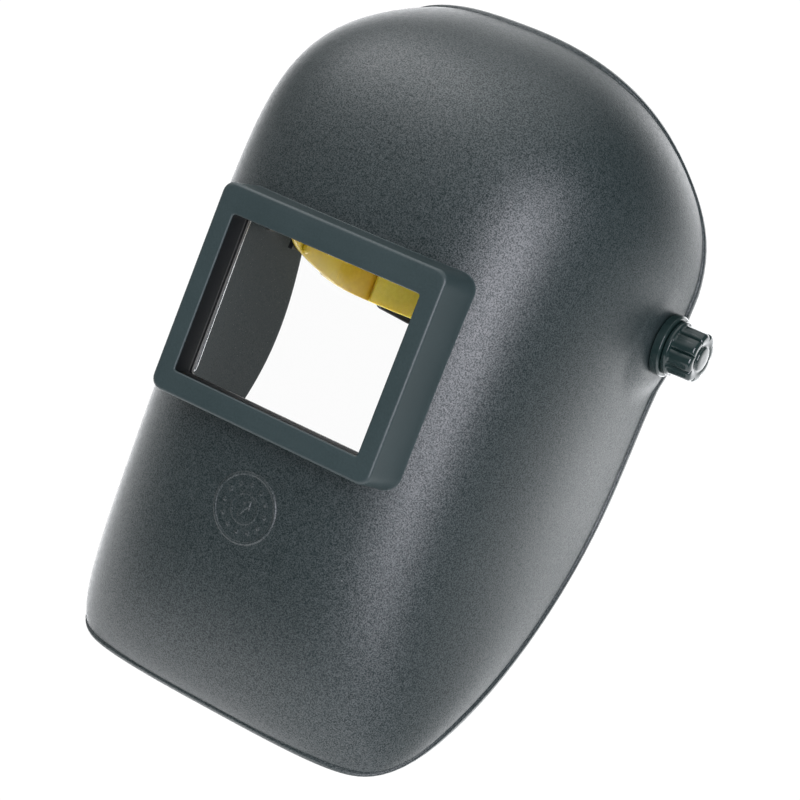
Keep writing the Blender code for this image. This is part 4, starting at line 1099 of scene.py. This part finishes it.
for k, a0 in enumerate((0.0, math.pi)):
    bm = bmesh.new()
    pts = []
    for t in np.linspace(-0.75, 0.55, 20):
        pts.append((10.9 * math.cos(a0 + t), 10.9 * math.sin(a0 + t)))
    pts.append((12.4 * math.cos(a0 + 0.55), 12.4 * math.sin(a0 + 0.55)))
    pts.append((10.0 * math.cos(a0 + 0.95), 10.0 * math.sin(a0 + 0.95)))
    pts.append((7.6 * math.cos(a0 + 0.55), 7.6 * math.sin(a0 + 0.55)))
    for t in np.linspace(0.55, -0.75, 20):
        pts.append((9.1 * math.cos(a0 + t), 9.1 * math.sin(a0 + t)))
    extrude_outline(bm, pts, 9.2, 10.0, "Y", c0, 0.1, 1)
    add("dial_arrow_%d" % k, bm, M_BLACK, "ratchet_dial", (), 40)


# ---- crown straps
def crown_path(lift, n=100, x_end=-30.0):
    base_x, z0, top = 77.7, 52.0, 135.0
    pts = [(base_x, 27.0), (base_x, 31.0), (base_x, 36.0), (base_x, 41.0), (base_x, 46.0), (base_x, z0)]
    for k in range(1, n + 1):
        a = math.radians(115.0 * k / n)
        w_ = min(1.0, k / (0.35 * n))
        d = lift * w_ * w_ * (3 - 2 * w_)
        c_, s_ = math.cos(a), math.sin(a)
        x = math.copysign(abs(c_) ** 0.84, c_) * (base_x + d)
        z = z0 + abs(s_) ** 0.84 * (top - z0 + d)
        pts.append((x, z))
        if x < x_end:
            break
    return np.array(pts)


for side, sx, lift in (("left", 1, 1.1), ("right", -1, -1.1)):
    q = dense(crown_path(lift), 150)
    n = len(q)
    dist = np.minimum(np.linalg.norm(q - q[0], axis=1), np.linalg.norm(q - q[-1], axis=1))
    tipr = 9.5 - np.sqrt(np.clip(9.5 ** 2 - np.clip(9.5 - dist, 0, 9.5) ** 2, 0, None))
    tipr = np.minimum(tipr, 8.2)
    X, Z = sx * q[:, 0], q[:, 1]
    bm = bmesh.new()
    strip(bm, np.column_stack([X, 132.5 + tipr, Z]), np.column_stack([X, 151.5 - tipr, Z]), 1.6, 0.6, out_hint=(0, 142, 60))
    cs = add("crown_strap_fine_" + side, bm, M_YELLOW, "crown", ("crown_strap_" + side,), 0)
    bool_cut(cs, hole((sx * 77.7, 142, 36.0), 3.35, 8, "X"))
    for x in (-18.0, -9.0, 0.0, 9.0, 18.0):
        if abs(x) < 1 or True:
            bool_cut(cs, hole((x, 142, 134.0), 2.6 if abs(x) > 10 or x == 0 else 2.2, 12, "Z", 24))
    resmooth(cs, 40)

# ======================================================== soft pads
def pad_mesh(mid, Wd, hw, Nn, thick, cols, seams, pinch=0.72):
    """Closed pad round a curved centre surface. mid[i] centre line; rows across; seams in 0..1 along."""
    n = len(mid)
    rows = np.linspace(-1, 1, cols)
    s = np.linspace(0, 1, n)
    prof = np.clip(1 - np.abs(rows) ** 4, 0, 1) ** 0.5
    endp = np.clip(1 - np.abs(2 * s - 1) ** 28, 0, 1) ** 0.5
    seam = np.ones(n)
    for q_ in seams:
        seam = np.minimum(seam, 1 - pinch * np.exp(-((s - q_) / 0.010) ** 2))
    T = prof[None, :] * endp[:, None] * seam[:, None] * thick / 2
    # a stitched line follows both long edges
    edge = 1 - 0.45 * np.exp(-((np.abs(rows) - 0.80) / 0.05) ** 2)
    T = T * edge[None, :]
    top = mid[:, None, :] + Wd[:, None, :] * (rows[None, :, None] * hw[:, None, None]) + Nn[:, None, :] * T[..., None]
    bot = mid[:, None, :] + Wd[:, None, :] * (rows[None, :, None] * hw[:, None, None]) - Nn[:, None, :] * T[..., None]
    bm = bmesh.new()
    A_, B_ = outa(top), outa(bot)
    va = [[bm.verts.new(p) for p in r_] for r_ in A_]
    vb = [[None] * cols for _ in range(n)]
    for i in range(n):
        for j in range(cols):
            border = i in (0, n - 1) or j in (0, cols - 1)
            vb[i][j] = va[i][j] if border else bm.verts.new(B_[i][j])
    for i in range(n - 1):
        for j in range(cols - 1):
            bm.faces.new((va[i][j], va[i][j + 1], va[i + 1][j + 1], va[i + 1][j]))
            bm.faces.new((vb[i][j], vb[i + 1][j], vb[i + 1][j + 1], vb[i][j + 1]))
    pins = []
    bm.verts.index_update()
    for i in range(n):
        for j in range(cols):
            near = any(abs(s[i] - q_) < 0.6 / n for q_ in seams) or i in (0, n - 1) or j in (0, cols - 1) or abs(abs(rows[j]) - 0.80) < 0.06
            if near:
                pins += [va[i][j].index, vb[i][j].index]
    return bm, sorted(set(pins))


def inflate(ob, pins, cap, pressure=4.0, frames=20):
    """Cloth under pressure, held along its stitching, with a cap on how far any point moves."""
    me = ob.data
    start = np.empty(len(me.vertices) * 3)
    me.vertices.foreach_get("co", start)
    start = start.reshape(-1, 3)
    vg = ob.vertex_groups.new(name="stitch")
    vg.add(pins, 1.0, "REPLACE")
    cl = ob.modifiers.new("cloth", "CLOTH")
    st = cl.settings
    st.quality = 6
    st.mass = 0.15
    st.effector_weights.gravity = 0.0
    st.use_pressure = True
    st.uniform_pressure_force = pressure
    st.tension_stiffness = st.compression_stiffness = 12.0
    st.shear_stiffness = 4.0
    st.bending_stiffness = 0.15
    st.vertex_group_mass = "stitch"
    st.pin_stiffness = 1.0
    cl.collision_settings.use_collision = False
    cl.collision_settings.use_self_collision = False
    cl.point_cache.frame_start, cl.point_cache.frame_end = 1, frames
    for f in range(1, frames + 1):
        SC.frame_set(f)
    dg = bpy.context.evaluated_depsgraph_get()
    ev = ob.evaluated_get(dg)
    new = np.empty(len(ev.data.vertices) * 3)
    ev.data.vertices.foreach_get("co", new)
    new = new.reshape(-1, 3)
    ob.modifiers.clear()
    ob.vertex_groups.clear()
    SC.frame_set(1)
    d = new - start
    L_ = np.linalg.norm(d, axis=1)
    bad = ~np.isfinite(L_)
    d[bad] = 0
    L_[bad] = 0
    k = np.where(L_ > 1e-9, cap * np.tanh(L_ / cap) / np.maximum(L_, 1e-9), 0)
    me.vertices.foreach_set("co", (start + d * k[:, None]).ravel())
    me.update()


def stitches(name, pts, nrm, body, step=2.4, r=0.22):
    """Short thread stitches lying along a seam."""
    pts = np.asarray(pts, float)
    m_ = max(4, int(np.sum(np.linalg.norm(np.diff(pts, axis=0), axis=1)) / step))
    d0 = np.concatenate([[0], np.cumsum(np.linalg.norm(np.diff(pts, axis=0), axis=1))])
    bm = bmesh.new()
    for k in range(m_):
        t = np.linspace((k + 0.12) / m_, (k + 0.72) / m_, 5) * d0[-1]
        C = np.stack([np.interp(t, d0, pts[:, a]) for a in range(3)], 1)
        Nv = np.stack([np.interp(t, d0, nrm[:, a]) for a in range(3)], 1)
        Nv /= np.linalg.norm(Nv, axis=1)[:, None]
        Tn = np.gradient(C, axis=0)
        Tn /= np.linalg.norm(Tn, axis=1)[:, None]
        S_ = np.cross(Tn, Nv)
        arc = np.sin(np.linspace(0, math.pi, 5)) * 0.25
        loops = []
        for i in range(5):
            rr = r * (0.55 if i in (0, 4) else 1.0)
            an = np.linspace(0, 2 * math.pi, 6, endpoint=False)
            loops.append(C[i] + Nv[i] * arc[i] + np.outer(np.cos(an) * rr, S_[i]) + np.outer(np.sin(an) * rr, Nv[i]))
        skin_loops(bm, loops, cap_start=True, cap_end=True)
    return add(name, bm, M_THREAD, body, (), 60)


# sweatband: a folded towelling sleeve over foam, on the brow
p = dense(front_path(-3.6, None, 160, 0.66), 150)
ys = p[:, 1]
z0, z1 = band_low(ys) + 0.5, band_low(ys) + 32
mid = np.column_stack([p, (z0 + z1) / 2])
T = np.gradient(mid, axis=0); T /= np.linalg.norm(T, axis=1)[:, None]
Wd = np.tile(np.array([0, 0, 1.0]), (len(mid), 1))
Nn = np.cross(T, Wd); Nn /= np.linalg.norm(Nn, axis=1)[:, None]
if np.sum(Nn * (mid - np.array([0, 130, 40]))) < 0:
    Nn = -Nn
seams = [1 / 6, 2 / 6, 3 / 6, 4 / 6, 5 / 6]
bm, pins = pad_mesh(mid, Wd, (z1 - z0) / 2, Nn, 3.3, 27, seams)
sw = add("sweatband_soft", bm, M_PAD, "headgear", ("sweatband",), 0)
inflate(sw, pins, 0.55 * MM)
sb = sw.modifiers.new("smooth", "SUBSURF")
sb.levels = sb.render_levels = 1
for tag, lv in (("low", -0.80), ("high", 0.80)):
    line = mid + Wd * (lv * (z1 - z0) / 2)[:, None] - Nn * 1.05
    stitches("sweatband_stitch_" + tag, line[4:-4], -Nn[4:-4], "headgear")

# nape pad
x = np.linspace(42, -42, 110)
p = dense(np.stack([x, BAND_TURN + 50.0 * np.sqrt(1 - (x / 74.5) ** 2)], 1), 100)
mid = np.column_stack([p, np.full(len(p), 19.5)])
T = np.gradient(mid, axis=0); T /= np.linalg.norm(T, axis=1)[:, None]
Wd = np.tile(np.array([0, 0, 1.0]), (len(mid), 1))
Nn = np.cross(T, Wd)
if np.sum(Nn * (mid - np.array([0, 170, 20]))) < 0:
    Nn = -Nn
hwn = np.full(len(p), 13.5)
bm, pins = pad_mesh(mid, Wd, hwn, Nn, 3.4, 25, [0.25, 0.5, 0.75])
npd = add("nape_pad_soft", bm, M_PAD, "rear_adjuster", ("nape_pad",), 0)
inflate(npd, pins, 0.55 * MM)
sb = npd.modifiers.new("smooth", "SUBSURF")
sb.levels = sb.render_levels = 1
for tag, lv in (("low", -0.80), ("high", 0.80)):
    line = mid + Wd * (lv * hwn)[:, None] - Nn * 1.1
    stitches("nape_stitch_" + tag, line[4:-4], -Nn[4:-4], "rear_adjuster")

# ======================================================== camera, light, floor
R = Vector((0.8142, 0.4544, 0.3615)).normalized()
B = Vector((0.4452, -0.8882, 0.1136)).normalized()
Uv = B.cross(R).normalized()
R = Uv.cross(B).normalized()
cam_data = bpy.data.cameras.new("camera")
cam = bpy.data.objects.new("camera", cam_data)
SC.collection.objects.link(cam)
cam_data.sensor_width = 36.0
cam_data.lens = 2526.4 * 36.0 / 800.0
cam_data.clip_start, cam_data.clip_end = 0.05, 100.0
cam.matrix_world = Matrix(((R.x, Uv.x, B.x, 0.5607), (R.y, Uv.y, B.y, -1.1380), (R.z, Uv.z, B.z, 0.0670), (0, 0, 0, 1)))
SC.camera = cam

# world: dark in front, a white wall behind, a pale ceiling; plain white where the camera looks past the object
w = bpy.data.worlds.new("studio")
SC.world = w
w.use_nodes = True
nt = w.node_tree
bg = nt.nodes["Background"]
tcw = nt.nodes.new("ShaderNodeTexCoord")


def lobe(direction, lo_, hi_, gain):
    d = nt.nodes.new("ShaderNodeVectorMath")
    d.operation = "DOT_PRODUCT"
    d.inputs[1].default_value = Vector(direction).normalized()
    nt.links.new(tcw.outputs["Generated"], d.inputs[0])
    r_ = nt.nodes.new("ShaderNodeMapRange")
    r_.interpolation_type = "SMOOTHSTEP"
    r_.inputs["From Min"].default_value, r_.inputs["From Max"].default_value = lo_, hi_
    r_.inputs["To Min"].default_value, r_.inputs["To Max"].default_value = 0.0, gain
    nt.links.new(d.outputs["Value"], r_.inputs["Value"])
    return r_.outputs["Result"]


def total(outs, base):
    cur = None
    for o_ in outs:
        a_ = nt.nodes.new("ShaderNodeMath")
        a_.operation = "ADD"
        nt.links.new(o_, a_.inputs[0])
        if cur is None:
            a_.inputs[1].default_value = base
        else:
            nt.links.new(cur, a_.inputs[1])
        cur = a_.outputs["Value"]
    return cur


level = total([lobe((-0.24, 0.97, -0.08), 0.62, 0.88, 3.6), lobe((-0.34, -0.35, 0.86), 0.45, 0.95, 1.6),
               lobe((0.587, 0.492, -0.643), 0.72, 0.95, 1.8), lobe((-0.77, 0.28, -0.57), 0.72, 0.95, 1.8)], 0.22)
bg.inputs["Color"].default_value = (0.97, 0.98, 1.0, 1)
nt.links.new(level, bg.inputs["Strength"])
white = nt.nodes.new("ShaderNodeBackground")
white.inputs["Color"].default_value = (1, 1, 1, 1)
white.inputs["Strength"].default_value = 1.05
lp = nt.nodes.new("ShaderNodeLightPath")
mx = nt.nodes.new("ShaderNodeMixShader")
nt.links.new(lp.outputs["Is Camera Ray"], mx.inputs["Fac"])
nt.links.new(bg.outputs["Background"], mx.inputs[1])
nt.links.new(white.outputs["Background"], mx.inputs[2])
nt.links.new(mx.outputs["Shader"], nt.nodes["World Output"].inputs["Surface"])


def area(name, az, el, dist, size, radiance, colour=(1, 1, 1)):
    """Soft box seen from the object's centre at azimuth az (0 is in front) and elevation el."""
    a_, e_ = math.radians(az), math.radians(el)
    d = Vector((math.sin(a_) * math.cos(e_), -math.cos(a_) * math.cos(e_), math.sin(e_)))
    ld = bpy.data.lights.new(name, "AREA")
    ld.shape = "RECTANGLE"
    ld.size, ld.size_y = size
    ld.energy = radiance * math.pi * size[0] * size[1]
    ld.color = colour
    lo_ = bpy.data.objects.new(name, ld)
    SC.collection.objects.link(lo_)
    lo_.location = Vector((0, -0.03, -0.03)) + d * dist
    lo_.rotation_mode = "QUATERNION"
    lo_.rotation_quaternion = (-d).to_track_quat("-Z", "Y")
    lo_.visible_camera = False
    return lo_


area("key_right_front", 45, 4, 1.6, (0.95, 1.25), 9.6, (1.0, 0.98, 1.07))
area("top_left", -60, 50, 1.6, (1.2, 0.9), 2.4, (1.0, 0.99, 1.02))

fb = bmesh.new()
bmesh.ops.create_circle(fb, cap_ends=True, segments=96, radius=0.98)
fm = bpy.data.meshes.new("floor")
fb.to_mesh(fm)
fb.free()
floor = bpy.data.objects.new("floor", fm)
floor.location = (0, 0, -0.85)
SC.collection.objects.link(floor)
m, nt, b = new_mat("floor_white")
b.inputs["Base Color"].default_value = (0.80, 0.80, 0.80, 1)
b.inputs["Roughness"].default_value = 0.9
b.inputs["Emission Color"].default_value = (1, 1, 1, 1)
b.inputs["Emission Strength"].default_value = 0.60
fm.materials.append(m)

# carried-over CAD nodes get finished materials and softened edges
BY_SLOT = {"shell_grained": M_SHELL, "frame_satin": M_FRAME, "knob_gloss": M_KNOB, "black_plastic": M_BLACK, "strap_yellow": M_YELLOW,
           "steel": M_STEEL, "brass": M_BRASS, "rubber": M_RUBBER, "pad_fabric": M_PAD, "clear_plate": M_CLEAR}
slots = {s["node"]: s["material_slot"] for s in frame["record"]["subparts"]}
for name, ob in frame["nodes"].items():
    ob.data.materials.clear()
    ob.data.materials.append(M_YELLOW if name.startswith("arm_rivet") else BY_SLOT[slots[name]])
    if ob.hide_render:
        continue
    ob.data.shade_smooth()
    ob.data.set_sharp_from_angle(angle=math.radians(35))
    if name not in ("retaining_spring", "plate_gasket", "cover_plate"):
        bv = ob.modifiers.new("edges", "BEVEL")
        bv.width = 0.35 * MM
        bv.segments = 2
        bv.limit_method = "ANGLE"
        bv.angle_limit = math.radians(35)
        bv.use_clamp_overlap = True
